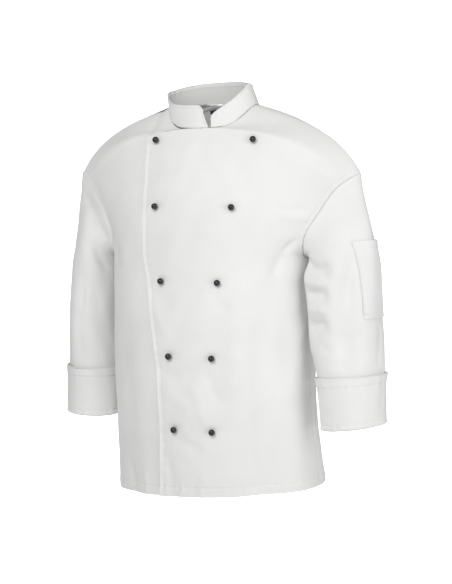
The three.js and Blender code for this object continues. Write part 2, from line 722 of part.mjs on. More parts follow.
// A cuff turned back round the end of the sleeve, with its fold under the sleeve's edge.
function cuff(side) {
  const end = SLEEVE_SECTIONS[side][0].z;
  const fold = end - LAYER_GAP;
  const profile = CUFF_ROWS.map(({ up, flare }) => ({
    z: [end + up, end + up],
    out: [LAYER_GAP + CUFF_WALL + flare, LAYER_GAP + flare],
  }));
  profile.push({ z: [fold - CUFF_WALL / 3, fold], out: [LAYER_GAP + CUFF_WALL, LAYER_GAP] });
  profile.push({ z: [fold - CUFF_WALL, fold], out: [LAYER_GAP + CUFF_WALL / 3, 0] });
  profile.push({ z: [fold - CUFF_WALL, fold], out: [-BODY_WALL, -BODY_WALL] });
  const place = (turn, z, out) => {
    const down = 1 + (sleeveTopZ(side) - Math.max(z, end)) / (sleeveTopZ(side) - end);
    const point = foldedSleeve(side, turn, down);
    point.addScaledVector(sleeveNormal(side, turn, down), out);
    point.z += Math.min(z - end, 0);
    return point;
  };
  const grid = profile.map(({ z, out }) =>
    SLEEVE_TURNS.map((turn) => ({
      outer: place(turn, z[0], out[0]),
      inner: place(turn, z[1], out[1]),
    })),
  );
  return forSide(side, clothSolid(grid));
}
const sleeveTopZ = (side) => SLEEVE_SECTIONS[side].at(-1).z;

// Patch on the outer side of the left sleeve, made from the sleeve's points moved out.
function sleevePocket() {
  const downAt = (turn, z) => halve(0, 2, (down) => sleevePoint("left", turn, down).z > z);
  const place = (z, turn) => foldedSleeve("left", turn, downAt(turn, z));
  const facing = (z, turn) => sleeveNormal("left", turn, downAt(turn, z));
  const heights = steps(POCKET_TOP, POCKET_TOP - POCKET_LENGTH, POCKET_ROWS);
  const last = read(ROWS, "stage", "turn", NAPE);
  const between = ARMHOLE_TURNS.filter((turn) => turn > POCKET_FRONT_TURN && turn <= last);
  const turns = [POCKET_FRONT_TURN, ...between];
  const outer = -(PATCH_GAP + PATCH_WALL);
  return clothSolid(layer(heights, () => turns, place, facing, outer, -PATCH_GAP));
}

// The neck seam between the rows of the panels that end on it, which are straight there.
function neckSeam(angle) {
  const step = Math.PI / 2 / SHOULDER_ROWS;
  const before = Math.floor(angle / step + 1e-6);
  return neckPoint(before * step).lerp(neckPoint((before + 1) * step), angle / step - before);
}

// The collar band's outer face. way runs round the neck from the left end to the right end.
function collarPoint(way, up) {
  const rightEnd = 360 + COLLAR_RIGHT_END - COLLAR_RIGHT_END_LEAN * up;
  const angle = THREE.MathUtils.degToRad(lerp(COLLAR_LEFT_END, rightEnd, way));
  const seam = neckSeam(angle).lerp(neckPoint(angle), Math.min(1, COLLAR_ROWS * up));
  const value = (column) => read(COLLAR_TOP, "angle", column, THREE.MathUtils.radToDeg(angle));
  const inwards = new THREE.Vector3(-Math.sin(angle), Math.cos(angle), 0);
  const rise = SEAM_GAP + (COLLAR_HEIGHT - value("drop")) * up;
  return seam.addScaledVector(inwards, value("lean") * up).setZ(seam.z + rise);
}

// The height that the collar reaches near its rounded end corners.
function collarReach(way) {
  const around = NECK_HALF_WIDTH * Math.PI * 2;
  const corner = way < 0.5 ? COLLAR_LEFT_CORNER : COLLAR_RIGHT_CORNER;
  const fromEnd = Math.min(way, 1 - way) * around;
  if (fromEnd >= corner) return 1;
  const short = corner - Math.sqrt(corner ** 2 - (corner - fromEnd) ** 2);
  return 1 - short / COLLAR_HEIGHT;
}

function collar() {
  const around = NECK_HALF_WIDTH * Math.PI * 2;
  const ends = COLLAR_END_STEPS.map((mm) => mm / around);
  const ways = [
    ...ends,
    ...steps(ends.at(-1), 1 - ends.at(-1), COLLAR_COLUMNS).slice(1, -1),
    ...ends.map((way) => 1 - way).reverse(),
  ];
  const place = (up, way) => collarPoint(way, up * collarReach(way));
  const facing = (up, way) => normalOf((u, w) => collarPoint(w, u), up, way, [0, 1]);
  const grid = layer(steps(0, 1, COLLAR_ROWS), () => ways, place, facing, 0, COLLAR_WALL);
  return clothSolid(grid);
}

// Plain label on the inner face of the back, just under the neck seam.
function neckLabel() {
  const drop = (z) => halve(NAPE, BACK_UNDERARM, (stage) => centreHeight(stage) > z);
  const rows = steps(NAPE_HEIGHT - LABEL_DROP, NAPE_HEIGHT - LABEL_DROP - LABEL_HEIGHT, 3).map(drop);
  const columns = (stage) => {
    const edge = acrossAtWidth(stage, LABEL_HALF_WIDTH);
    return steps(-edge, edge, LABEL_COLUMNS);
  };
  const depth = BODY_WALL + LABEL_GAP;
  return clothSolid(layer(rows, columns, bodyPoint, bodyNormal, depth, depth + LABEL_WALL));
}

// Ball on a short shank, turned about the cloth's normal.
function ballButton() {
  const centre = SEAM_GAP + BUTTON_SHANK_LENGTH + BUTTON_RADIUS;
  const start = Math.asin(BUTTON_SHANK_RADIUS / BUTTON_RADIUS);
  const ball = steps(start, Math.PI, BUTTON_BALL_STEPS).map(
    (angle) =>
      new THREE.Vector2(
        BUTTON_RADIUS * Math.sin(angle),
        centre - BUTTON_RADIUS * Math.cos(angle),
      ),
  );
  ball.at(-1).x = 0;
  const foot = [
    new THREE.Vector2(0, SEAM_GAP),
    new THREE.Vector2(BUTTON_SHANK_RADIUS, SEAM_GAP),
  ];
  return new THREE.LatheGeometry([...foot, ...ball], BUTTON_SIDES);
}

function clothMesh(name, geometry, finish = CLOTH) {
  const mesh = new THREE.Mesh(geometry, new THREE.MeshStandardMaterial(finish));
  mesh.name = name;
  return mesh;
}

function buttons() {
  const meshes = [];
  for (const [side, sign] of [["left", 1], ["right", -1]]) {
    BUTTON_ROWS.forEach((row, i) => {
      const at = findOnFront(sign * row[side], row.z);
      const mesh = clothMesh(`button_${side}_${i + 1}`, ballButton(), BUTTON_PLASTIC);
      mesh.position.copy(foldedBody(...at));
      mesh.quaternion.setFromUnitVectors(new THREE.Vector3(0, 1, 0), bodyNormal(...at));
      meshes.push(mesh);
    });
  }
  return meshes;
}

function jacket() {
  const group = new THREE.Group();
  group.add(
    clothMesh("back", backPanel()),
    clothMesh("front_left", frontPanel(1, () => 0)),
    clothMesh("front_right", frontPanel(-1, underDepth)),
    clothMesh("collar", collar()),
    clothMesh("sleeve_left", sleeve("left")),
    clothMesh("sleeve_right", sleeve("right")),
    clothMesh("cuff_left", cuff("left")),
    clothMesh("cuff_right", cuff("right")),
    clothMesh("sleeve_pocket", sleevePocket()),
    clothMesh("neck_label", neckLabel(), LABEL_CLOTH),
    ...buttons(),
  );
  group.position.set(0, -NAPE_Y, -NAPE_HEIGHT);
  return group;
}

const root = new THREE.Group();
root.name = "chef_jacket";
root.add(jacket());
export default root;
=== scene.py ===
import bpy
import numpy as np
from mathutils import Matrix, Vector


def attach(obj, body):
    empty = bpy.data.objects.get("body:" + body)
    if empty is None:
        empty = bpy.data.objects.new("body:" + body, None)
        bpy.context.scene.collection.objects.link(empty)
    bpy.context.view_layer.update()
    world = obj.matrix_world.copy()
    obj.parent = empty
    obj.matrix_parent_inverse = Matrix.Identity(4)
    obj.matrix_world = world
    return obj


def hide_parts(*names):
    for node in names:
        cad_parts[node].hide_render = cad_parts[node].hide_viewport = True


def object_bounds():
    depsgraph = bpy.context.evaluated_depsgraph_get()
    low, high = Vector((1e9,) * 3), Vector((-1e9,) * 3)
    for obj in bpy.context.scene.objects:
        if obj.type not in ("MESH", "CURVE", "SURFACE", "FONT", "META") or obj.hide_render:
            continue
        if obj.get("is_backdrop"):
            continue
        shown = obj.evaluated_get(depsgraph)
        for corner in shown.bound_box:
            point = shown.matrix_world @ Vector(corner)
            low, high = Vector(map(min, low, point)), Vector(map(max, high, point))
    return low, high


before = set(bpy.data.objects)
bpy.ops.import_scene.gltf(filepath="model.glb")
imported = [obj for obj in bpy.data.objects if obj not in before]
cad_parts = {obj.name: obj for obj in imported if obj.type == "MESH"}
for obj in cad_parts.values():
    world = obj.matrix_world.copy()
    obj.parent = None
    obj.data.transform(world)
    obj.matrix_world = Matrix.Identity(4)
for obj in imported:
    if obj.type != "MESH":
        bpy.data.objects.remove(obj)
CAD_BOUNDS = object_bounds()

# The photograph's camera.
CAMERA_AZIMUTH = 22.0
CAMERA_ELEVATION = 5.0
CAMERA_DISTANCE = 2.6
CAMERA_LENS = 83.3
CAMERA_TARGET = (0.011, -0.042, -0.360)

# Cloth walls and the gaps between layers.
BODY_WALL = 1.6
COLLAR_WALL = 2.4
CUFF_WALL = 2.0
PATCH_WALL = 1.2
LABEL_WALL = 1.0
LAYER_GAP = 0.4
FRONT_LAYER_GAP = 1.2
PATCH_GAP = 0.8
ARMHOLE_GAP = 0.5
SEAM_GAP = 0.4

# Neckline and collar band.
NECK_HALF_WIDTH = 87
NECK_HALF_DEPTH = 75
NECK_CENTRE_Y = -33
THROAT_HEIGHT = -45
NAPE_HEIGHT = 5
NAPE_Y = NECK_CENTRE_Y + NECK_HALF_DEPTH
COLLAR_HEIGHT = 42
COLLAR_LEFT_END = 15.5
COLLAR_RIGHT_END = 12.5
COLLAR_RIGHT_END_LEAN = 11
COLLAR_LEFT_CORNER = 12
COLLAR_RIGHT_CORNER = 6

# Heights of the hem and of the underarm.
HEM_HEIGHT = -725
HEM_RISE_LEFT = 14
HEM_RISE_RIGHT = -12
UNDERARM_HEIGHT = -285

# Stages of the cloth on its way up the front, over the shoulder and down the back.
HEM = 0
UNDERARM = 2
THROAT = 3
SHOULDER = 4
NAPE = 5
BACK_UNDERARM = 6
BACK_HEM = 8
BESIDE_MIDDLE = 1e-9
BESIDE_ARMHOLE = 0.93
WALL_FULLNESS = 0.6
WALL_FADE = 0.95
WALL_SEARCH_STEPS = 8
SHOULDER_CORNER_Y = -20
SHOULDER_CORNER_HEIGHT = -49


def table(names, *rows):
    """Columns by name, from rows of numbers."""
    return dict(zip(names.split(), np.array(rows, float).T))


def folds(*rows):
    """Folds and creases: angle round the front, start height, end angle and height, width, depth."""
    return table("around z to to_z width out", *rows)


COLLAR_TOP = table(
    "angle drop lean",
    (0, 17, 10),
    (18, 13, 10.5),
    (36, 3, 11.5),
    (60, 1, 12.5),
    (110, 5, 14),
    (165, 0, 10),
    (210, 2, 6),
    (245, 8, 1),
    (275, 15, -2),
    (300, 11, -2),
    (335, 1, 3),
    (375, 1, 5),
)
BODY = table(
    "z left right front back",
    (-725, 210, 201, 148, 141),
    (-660, 200, 203, 153, 139),
    (-590, 192, 205, 158, 136),
    (-500, 187, 208, 162, 132),
    (-400, 185, 210, 161, 129),
    (-285, 185, 210, 153, 127),
    (-200, 185, 210, 144, 122),
    (-120, 185, 210, 128, 109),
    (-45, 185, 210, 108, 80),
    (5, 185, 210, 90, 42),
)
ARMHOLE = table(
    "turn left right y z",
    (0.0, 185, 210, -4, -285),
    (0.1, 182, 207, -44, -275),
    (0.2, 191, 202, -62, -240),
    (0.3, 218, 221, -58, -196),
    (0.4, 246, 253, -42, -153),
    (0.5, 281, 290, -12, -127),
    (0.6, 252, 258, 32, -150),
    (0.7, 223, 229, 58, -192),
    (0.8, 198, 210, 64, -238),
    (0.9, 185, 209, 40, -275),
)
ROWS = table(
    "stage turn corner dip fullness",
    (2.0, 0.0, 196, 0.6, 0.6),
    (2.2, 0.075, 188, 0.5, 0.6),
    (2.5, 0.2, 168, 0.3, 0.56),
    (3.0, 0.39, 195, 0, 0.58),
    (3.5, 0.45, 222, 0, 0.7),
    (4.0, 0.5, 241, 0, 0.78),
    (4.5, 0.55, 215, 0.05, 0.68),
    (5.0, 0.61, 175, 0.15, 0.6),
    (5.5, 0.8, 166, 0.3, 0.57),
    (5.8, 0.925, 188, 0.5, 0.6),
    (6.0, 1.0, 196, 0.6, 0.6),
)
SLEEVES = {
    "left": table(
        "z x y wide deep turned tilt",
        (-589, 281, -42, 58, 45, 22, 0.13),
        (-510, 273, -30, 61, 47, 22, 0.1),
        (-443, 262, -22, 69, 52, 22, 0.05),
        (-385, 259, -28, 69, 53, 22, 0),
        (-322, 256, -36, 70, 52, 22, 0),
    ),
    "right": table(
        "z x y wide deep turned tilt",
        (-600, 267, -18, 50, 52, 0, 0.04),
        (-510, 269, -10, 49, 56, 0, 0.03),
        (-443, 272, -2, 47, 70, 0, 0.02),
        (-385, 269, 2, 46, 72, 0, 0),
        (-322, 266, 4, 46, 71, 0, 0),
    ),
}
SLEEVE_TOP_OUT = np.array([0.12, 0, -0.99])
SLEEVE_BOTTOM_OUT = np.array([0.97, 0, 0.24])
CAP_REACH = 0.33
CAP_RISE = 0.4
CAP_LOOK_DOWN = 20
CUFF_ROWS = table("up flare", (1, 0), (23, 0.4), (46, 0.8), (69, 1.5), (92, 2.5))
OVERLAP = table(
    "z out",
    (-725, 64),
    (-600, 60),
    (-470, 66),
    (-400, 77),
    (-325, 88),
    (-285, 97),
    (-190, 103),
    (-47, 105),
)
UNDER_BLEND = 60
BODY_FOLDS = folds(
    (47, -315, 49, -860, 34, -9),
    (34, -300, 32, -560, 26, 3.5),
    (71, -300, 69, -860, 28, 4),
    (68, -235, 52, -345, 20, -4),
    (64, -110, 24, -270, 36, -4),
    (-52, -330, -47, -860, 32, -4),
    (-125, -290, -120, -880, 36, -7),
    (-148, -330, -144, -880, 32, 4),
    (122, -300, 128, -880, 34, -7),
    (150, -330, 152, -880, 34, 4),
    (178, -150, 172, -480, 44, -5),
)
SLEEVE_FOLDS = {
    "left": folds(
        (150, -215, 106, -365, 20, -6),
        (116, -300, 98, -510, 19, -6),
        (92, -315, 76, -500, 20, 3.5),
        (25, -296, 98, -306, 18, -6),
        (30, -350, 92, -346, 17, -5),
        (25, -412, 88, -402, 17, -4.5),
        (184, -340, 158, -530, 22, -3),
        (178, -480, 138, -640, 24, -3.5),
        (250, -290, 285, -480, 22, -5),
    ),
    "right": folds(
        (172, -135, 8, -335, 19, -7),
        (165, -190, 30, -350, 19, 3.5),
        (90, -300, 84, -520, 20, -3.5),
        (152, -390, 122, -580, 22, -3),
        (250, -260, 300, -440, 22, -5),
    ),
}
BODY_FOLD_RADIUS = 180
SLEEVE_FOLD_RADIUS = 60
FOLD_END_FADE = 0.3
ARMHOLE_CALM = 0.16
SEAM_CALM = 0.22
BELOW_ARMHOLE_CALM = 0.2

# Smaller creases that only the cloth has.
BODY_CREASES = folds(
    (74, -236, 60, -276, 7, -3.2),
    (62, -272, 53, -318, 8, -2.4),
    (52, -192, 74, -195, 6, -2.4),
    (54, -206, 76, -212, 7, 1.6),
    (78, -300, 77, -420, 9, -1.8),
    (-32, -330, -8, -372, 14, -1.8),
    (14, -338, 30, -392, 13, -1.6),
    (-30, -350, -12, -440, 12, 1.4),
    (-28, -480, -2, -505, 12, -2.0),
    (10, -470, 22, -560, 12, -2.0),
    (-22, -520, 6, -560, 14, 1.6),
    (-14, -610, 12, -642, 12, -2.2),
    (-26, -590, -20, -700, 11, 1.8),
    (2, -500, 14, -600, 12, 1.8),
    (-60, -200, -40, -300, 22, -1.6),
    (-30, -90, -44, -210, 18, -1.4),
    (30, -95, 44, -180, 18, -1.6),
    (56, -330, 58, -700, 13, 2.2),
    (40, -420, 41, -860, 12, 1.8),
    (20, -330, 24, -620, 22, -1.6),
    (-62, -400, -58, -700, 14, -1.4),
    (-52, -655, -46, -760, 9, -2.2),
    (-38, -670, -33, -770, 8, 1.6),
    (-17, -640, -12, -760, 10, -1.8),
    (10, -660, 8, -770, 9, 1.5),
    (-66, -250, -58, -320, 12, -2.6),
    (-70, -330, -66, -520, 12, -1.8),
    (0, -80, 30, -190, 20, -1.2),
    (118, -240, 134, -330, 10, -3.0),
    (-118, -240, -134, -330, 10, -3.0),
    (140, -360, 139, -700, 14, 2.0),
    (-136, -380, -133, -860, 14, -2.0),
    (168, -300, 160, -600, 18, 2.0),
    (-168, -340, -164, -640, 18, -2.0),
)
SLEEVE_CREASES = {
    "left": folds(
        (20, -292, 92, -302, 9, -6.0),
        (24, -322, 84, -330, 7, 3.0),
        (22, -348, 88, -344, 8, -6.0),
        (24, -378, 82, -374, 7, 3.0),
        (22, -408, 84, -398, 9, -5.0),
        (128, -270, 108, -380, 7, -2.6),
        (104, -330, 96, -470, 6, -1.8),
        (70, -286, 96, -300, 6, -2.0),
        (60, -318, 92, -330, 7, 1.8),
        (62, -372, 88, -378, 7, 1.8),
        (126, -420, 120, -500, 8, 1.4),
        (176, -395, 160, -490, 7, -1.6),
        (60, -440, 86, -452, 8, -2.0),
        (70, -478, 104, -470, 7, -1.4),
        (260, -310, 300, -330, 9, -2.4),
        (255, -360, 300, -375, 9, -2.0),
        (275, -430, 300, -500, 8, -1.6),
    ),
    "right": folds(
        (162, -165, 92, -252, 7, -2.4),
        (96, -248, 20, -325, 7, -2.8),
        (104, -226, 58, -262, 6, -2.6),
        (112, -205, 62, -236, 7, 1.6),
        (88, -340, 84, -400, 7, -1.4),
        (70, -330, 74, -420, 8, 1.4),
        (86, -430, 84, -500, 7, -1.2),
        (60, -360, 40, -400, 8, -1.8),
        (256, -285, 300, -330, 8, -2.6),
        (250, -340, 295, -385, 9, -2.2),
        (120, -450, 112, -520, 9, 1.2),
    ),
}
BUTTONS = table(
    "z left right",
    (-67, 105, 84),
    (-189, 75, 74),
    (-325, 55, 55),
    (-462, 47, 36),
    (-598, 46, 28),
)


def read(rows, key, column, at):
    """Values of one column of a table, on a smooth curve through its rows."""
    keys, values = rows[key], rows[column]
    last = len(keys) - 1
    before = np.maximum(np.arange(last + 1) - 1, 0)
    after = np.minimum(np.arange(last + 1) + 1, last)
    slope = (values[after] - values[before]) / (keys[after] - keys[before])
    at = np.asarray(at, float)
    i = np.clip(np.searchsorted(keys, at) - 1, 0, last - 1)
    span = keys[i + 1] - keys[i]
    t = np.clip((at - keys[i]) / span, 0, 1)
    rise = t * t * (3 - 2 * t)
    bend = slope[i] * t * (1 - t) ** 2 + slope[i + 1] * t * t * (t - 1)
    return values[i] + (values[i + 1] - values[i]) * rise + span * bend


def sided(rows, key, at, left):
    """A table's left or right column, by a mask."""
    return np.where(left, read(rows, key, "left", at), read(rows, key, "right", at))


def points(x, y, z):
    return np.stack(np.broadcast_arrays(x, y, z), axis=-1).astype(float)


def paired(a, b):
    """Two fields of numbers, spread to one shape."""
    return np.broadcast_arrays(np.asarray(a, float), np.asarray(b, float))


def mix(a, b, share):
    return a + (b - a) * np.asarray(share, float)[..., None]


def unit(vectors):
    length = np.linalg.norm(vectors, axis=-1, keepdims=True)
    return vectors / np.maximum(length, 1e-12)


def ease(t):
    """A soft step from 0 to 1."""
    t = np.clip(t, 0, 1)
    return t * t * (3 - 2 * t)


def on_curve(a, b, c, d, t):
    t = np.asarray(t, float)[..., None]
    rest = 1 - t
    return a * rest**3 + 3 * b * t * rest**2 + 3 * c * t**2 * rest + d * t**3


ARMHOLE_ROUND = {
    name: np.concatenate([values + lap * (name == "turn") for lap in (-1, 0, 1)])
    for name, values in ARMHOLE.items()
}


def armhole_point(left, turn):
    return points(
        sided(ARMHOLE_ROUND, "turn", turn, left),
        read(ARMHOLE_ROUND, "turn", "y", turn),
        read(ARMHOLE_ROUND, "turn", "z", turn),
    )


def neck_point(angle):
    """Neck seam, at an angle of 0 at the throat and pi at the nape."""
    aside, along = np.sin(angle), np.cos(angle)
    end = np.where(along > 0, THROAT_HEIGHT, NAPE_HEIGHT)
    return points(
        NECK_HALF_WIDTH * aside,
        NECK_CENTRE_Y - NECK_HALF_DEPTH * along,
        end * (1 - aside**4),
    )


def centre_height(stage):
    front = stage < SHOULDER
    up = np.where(front, stage, BACK_HEM - stage)
    top = np.where(front, THROAT_HEIGHT, NAPE_HEIGHT)
    lower = HEM_HEIGHT + (UNDERARM_HEIGHT - HEM_HEIGHT) * up / UNDERARM
    upper = UNDERARM_HEIGHT + (top - UNDERARM_HEIGHT) * (up - UNDERARM)
    return np.where(up <= UNDERARM, lower, upper)


def centre_depth(stage, z):
    front, back = read(BODY, "z", "front", z), read(BODY, "z", "back", z)
    return np.where(stage < SHOULDER, -front, back)


def at_armhole(stage):
    return (stage > UNDERARM) & (stage < BACK_UNDERARM)


def inner_end(stage):
    z = centre_height(stage)
    on_line = points(0, centre_depth(stage, z), z)
    on_neck = neck_point((stage - THROAT) / (NAPE - THROAT) * np.pi)
    return np.where(((stage > THROAT) & (stage < NAPE))[..., None], on_neck, on_line)


def outer_end(left, stage):
    z = centre_height(stage)
    below = np.where(stage < SHOULDER, UNDERARM - stage, stage - BACK_UNDERARM) / UNDERARM
    rise = np.where(left, HEM_RISE_LEFT, HEM_RISE_RIGHT) * below
    side_seam = points(sided(BODY, "z", z, left), ARMHOLE["y"][0], z + rise)
    edge = armhole_point(left, read(ROWS, "stage", "turn", stage))
    return np.where(at_armhole(stage)[..., None], edge, side_seam)


def corner_point(left, stage, inner, outer):
    """The point that a row bends round."""
    plain = points(outer[..., 0], inner[..., 1], outer[..., 2])
    widened = sided(BODY, "z", UNDERARM_HEIGHT, left) / ROWS["corner"][0]
    near = np.minimum(np.abs(stage - UNDERARM), np.abs(BACK_UNDERARM - stage))
    share = widened + (1 - widened) * np.clip(near, 0, 1)
    out = read(ROWS, "stage", "corner", stage) * share
    dip = read(ROWS, "stage", "dip", stage)
    z = inner[..., 2] + (outer[..., 2] - inner[..., 2]) * dip
    chest = points(out, centre_depth(stage, z), z)
    lift = np.sin((1 - np.abs(stage - SHOULDER)) * np.pi / 2) ** 2
    shoulder = points(
        out,
        inner[..., 1] + (SHOULDER_CORNER_Y - inner[..., 1]) * lift,
        z + (SHOULDER_CORNER_HEIGHT - z) * lift,
    )
    over_shoulder = ((stage > THROAT) & (stage < NAPE))[..., None]
    upper = np.where(over_shoulder, shoulder, chest)
    return np.where(at_armhole(stage)[..., None], upper, plain)


def wall_point(left, stage, z, along):
    """The body's plain wall at a height, as if it went on up past the armhole."""
    middle = points(0, centre_depth(stage, z), z)
    end = points(sided(BODY, "z", z, left), ARMHOLE["y"][0], z)
    corner = points(end[..., 0], middle[..., 1], z)
    near = mix(middle, corner, np.full(z.shape, WALL_FULLNESS))
    far = mix(end, corner, np.full(z.shape, WALL_FULLNESS))
    return on_curve(middle, near, far, end, along)


def wall_reach(stage, outer):
    """How far along the plain wall its depth comes to the armhole's edge."""
    middle = centre_depth(stage, outer[..., 2])
    share = np.clip((outer[..., 1] - middle) / (ARMHOLE["y"][0] - middle), 0, 1)
    bend = 3 * (1 - WALL_FULLNESS)
    along = np.ones_like(share)
    for _ in range(WALL_SEARCH_STEPS):
        along = np.sqrt(share / (bend - (bend - 1) * along))
    return along


def body_point(stage, across):
    """The body's smooth outer face. across runs from -1, on the wearer's right, to 1, on the left."""
    stage, across = paired(stage, across)
    left, away = across >= 0, np.abs(across)
    inner, outer = inner_end(stage), outer_end(left, stage)
    corner = corner_point(left, stage, inner, outer)
    fullness = read(ROWS, "stage", "fullness", np.clip(stage, UNDERARM, BACK_UNDERARM))
    near, far = mix(inner, corner, fullness), mix(outer, corner, fullness)
    shaped = on_curve(inner, near, far, outer, away)
    above = np.minimum(stage - UNDERARM, BACK_UNDERARM - stage)
    t = np.clip(above / WALL_FADE, 0, 1)
    plain = np.where(above > 0, 1 - t**3 * (t * (6 * t - 15) + 10), 0)
    reach = wall_reach(stage, outer)
    miss = (outer - wall_point(left, stage, outer[..., 2], reach)) * np.array([1, 1, 0])
    wall = wall_point(left, stage, shaped[..., 2], away * reach) + miss * away[..., None] ** 3
    point = mix(shaped, wall, plain)
    point[..., 0] *= np.where(left, 1, -1)
    return point


def body_normal(stage, across, step=1e-3):
    stage, across = paired(stage, across)
    split = (stage > THROAT - 0.01) & (stage < NAPE + 0.01)
    low = np.where(split & (across >= 0), 0.0, -1.0)
    high = np.where(split & (across < 0), -BESIDE_MIDDLE, 1.0)
    most = np.where(at_armhole(stage), BESIDE_ARMHOLE, 1.0)
    u = np.clip(stage, HEM + 0.01, BACK_HEM - 0.01)
    v = np.clip(across, -most, most)
    along_u = body_point(u + step, v) - body_point(u - step, v)
    along_v = body_point(u, np.minimum(v + step, high)) - body_point(u, np.maximum(v - step, low))
    return unit(np.cross(along_v, along_u))


def halve(low, high, is_below):
    """Halves ranges until they close on where a rising test turns true."""
    low, high = np.array(low, float), np.array(high, float)
    for _ in range(24):
        middle = (low + high) / 2
        below = is_below(middle)
        low, high = np.where(below, middle, low), np.where(below, high, middle)
    return (low + high) / 2


def across_at_width(stage, x):
    """How far across a row of the body lies a distance out from the middle."""
    stage, x = paired(stage, x)
    sign = np.where(x < 0, -1.0, 1.0)
    nearer = lambda t: np.abs(body_point(stage, sign * t)[..., 0]) < np.abs(x)
    return sign * halve(np.zeros(x.shape), np.ones(x.shape), nearer)


def find_on_front(x, z):
    """The stage and column at which the front has a given distance out and height."""
    x, z = paired(x, z)
    lower = lambda t: body_point(t, across_at_width(t, x))[..., 2] < z
    stage = halve(np.full(x.shape, HEM), np.full(x.shape, THROAT), lower)
    return stage, across_at_width(stage, x)


def section_point(side, turn, z):
    """The sleeve's oval at a height, in the wearer's left form. Half a turn is outermost."""
    value = lambda column: read(SLEEVES[side], "z", column, z)
    turned = np.radians(value("turned"))
    angle = (np.asarray(turn) - 0.5) * 2 * np.pi - turned
    along, away = value("wide") * np.cos(angle), value("deep") * np.sin(angle)
    outwards = along * np.cos(turned) - away * np.sin(turned)
    forwards = along * np.sin(turned) + away * np.cos(turned)
    return points(value("x") + outwards, value("y") + forwards, z + value("tilt") * outwards)


def armhole_edge(side, turn):
    """Where the body's edge is at a turn of the armhole, and its normal, in the left form."""
    turn = np.asarray(turn, float)
    whole = turn - np.floor(turn)
    stage_of = lambda t: read(ROWS, "stage", "turn", t) < whole
    low, high = np.full(turn.shape, UNDERARM), np.full(turn.shape, BACK_UNDERARM)
    stage = halve(low, high, stage_of)
    sign = 1 if side == "left" else -1
    normal = body_normal(stage, sign) * np.array([sign, 1, 1])
    left = np.full(turn.shape, side == "left")
    along = armhole_point(left, turn + 1e-3) - armhole_point(left, turn - 1e-3)
    beyond = unit(np.cross(along, normal))
    return armhole_point(left, turn) + beyond * ARMHOLE_GAP, normal


def sleeve_point(side, turn, down):
    """The sleeve's smooth outer face: down is 0 at the armhole, 1 at the first section, 2 at the end."""
    turn, down = paired(turn, down)
    end_z, cap_z = SLEEVES[side]["z"][0], SLEEVES[side]["z"][-1]
    low_part = section_point(side, turn, cap_z + (end_z - cap_z) * np.clip(down - 1, 0, 1))
    start, _ = armhole_edge(side, turn)
    end = section_point(side, turn, np.full(turn.shape, cap_z))
    below = section_point(side, turn, np.full(turn.shape, cap_z - CAP_LOOK_DOWN))
    upwards = unit(end - below)
    low = (1 + np.cos(2 * np.pi * turn)) / 2
    out = unit(mix(SLEEVE_TOP_OUT, SLEEVE_BOTTOM_OUT, low))
    span = np.linalg.norm(end - start, axis=-1, keepdims=True)
    leave, arrive = start + out * span * CAP_REACH, end + upwards * span * CAP_RISE
    cap = on_curve(start, leave, arrive, end, np.clip(down, 0, 1))
    return np.where((down >= 1)[..., None], low_part, cap)


def sleeve_normal(side, turn, down, step=1e-3):
    turn, down = paired(turn, down)
    low, high = np.maximum(down - step, 0), np.minimum(down + step, 2)
    along_u = sleeve_point(side, turn + step, down) - sleeve_point(side, turn - step, down)
    along_v = sleeve_point(side, turn, high) - sleeve_point(side, turn, low)
    smooth = unit(np.cross(along_v, along_u))
    _, edge = armhole_edge(side, turn)
    return np.where((down == 0)[..., None], edge, smooth)


def fold_out(folds, radius, around, z):
    """How far a table's folds move the cloth out, at an angle round it and a height."""
    per_degree = np.radians(radius)
    total = np.zeros(np.broadcast(around, z).shape)
    for i in range(len(folds["z"])):
        fold = {name: column[i] for name, column in folds.items()}
        run = np.array([(fold["to"] - fold["around"]) * per_degree, fold["to_z"] - fold["z"]])
        turned = np.mod(around - fold["around"] + 180, 360) - 180
        here = [turned * per_degree, z - fold["z"]]
        length = np.hypot(*run)
        along = (here[0] * run[0] + here[1] * run[1]) / length**2
        aside = (here[0] * run[1] - here[1] * run[0]) / length
        strength = ease(np.minimum(along, 1 - along) / FOLD_END_FADE)
        total += fold["out"] * strength * np.exp(-((aside / fold["width"]) ** 2))
    return total


def ripple(seed, *fields):
    """A soft irregular wave over fields given in millimetres, between about -1 and 1."""
    rng = np.random.default_rng(seed)
    total = 0
    for length in RIPPLE_LENGTHS:
        for _ in range(RIPPLE_WAVES):
            turn = rng.uniform(0, 2 * np.pi)
            phase = rng.uniform(0, 2 * np.pi)
            place = fields[0] * np.cos(turn) + fields[1] * np.sin(turn)
            total = total + np.sin(2 * np.pi * place / length + phase)
    return total / (len(RIPPLE_LENGTHS) * RIPPLE_WAVES) * 2


RIPPLE_LENGTHS = (150, 90, 55)
RIPPLE_WAVES = 3
BODY_RIPPLE = 0.9
SLEEVE_RIPPLE = 0.9
DIMPLE_DEPTH = 2.6
DIMPLE_WIDE = 13
DIMPLE_HIGH = 7


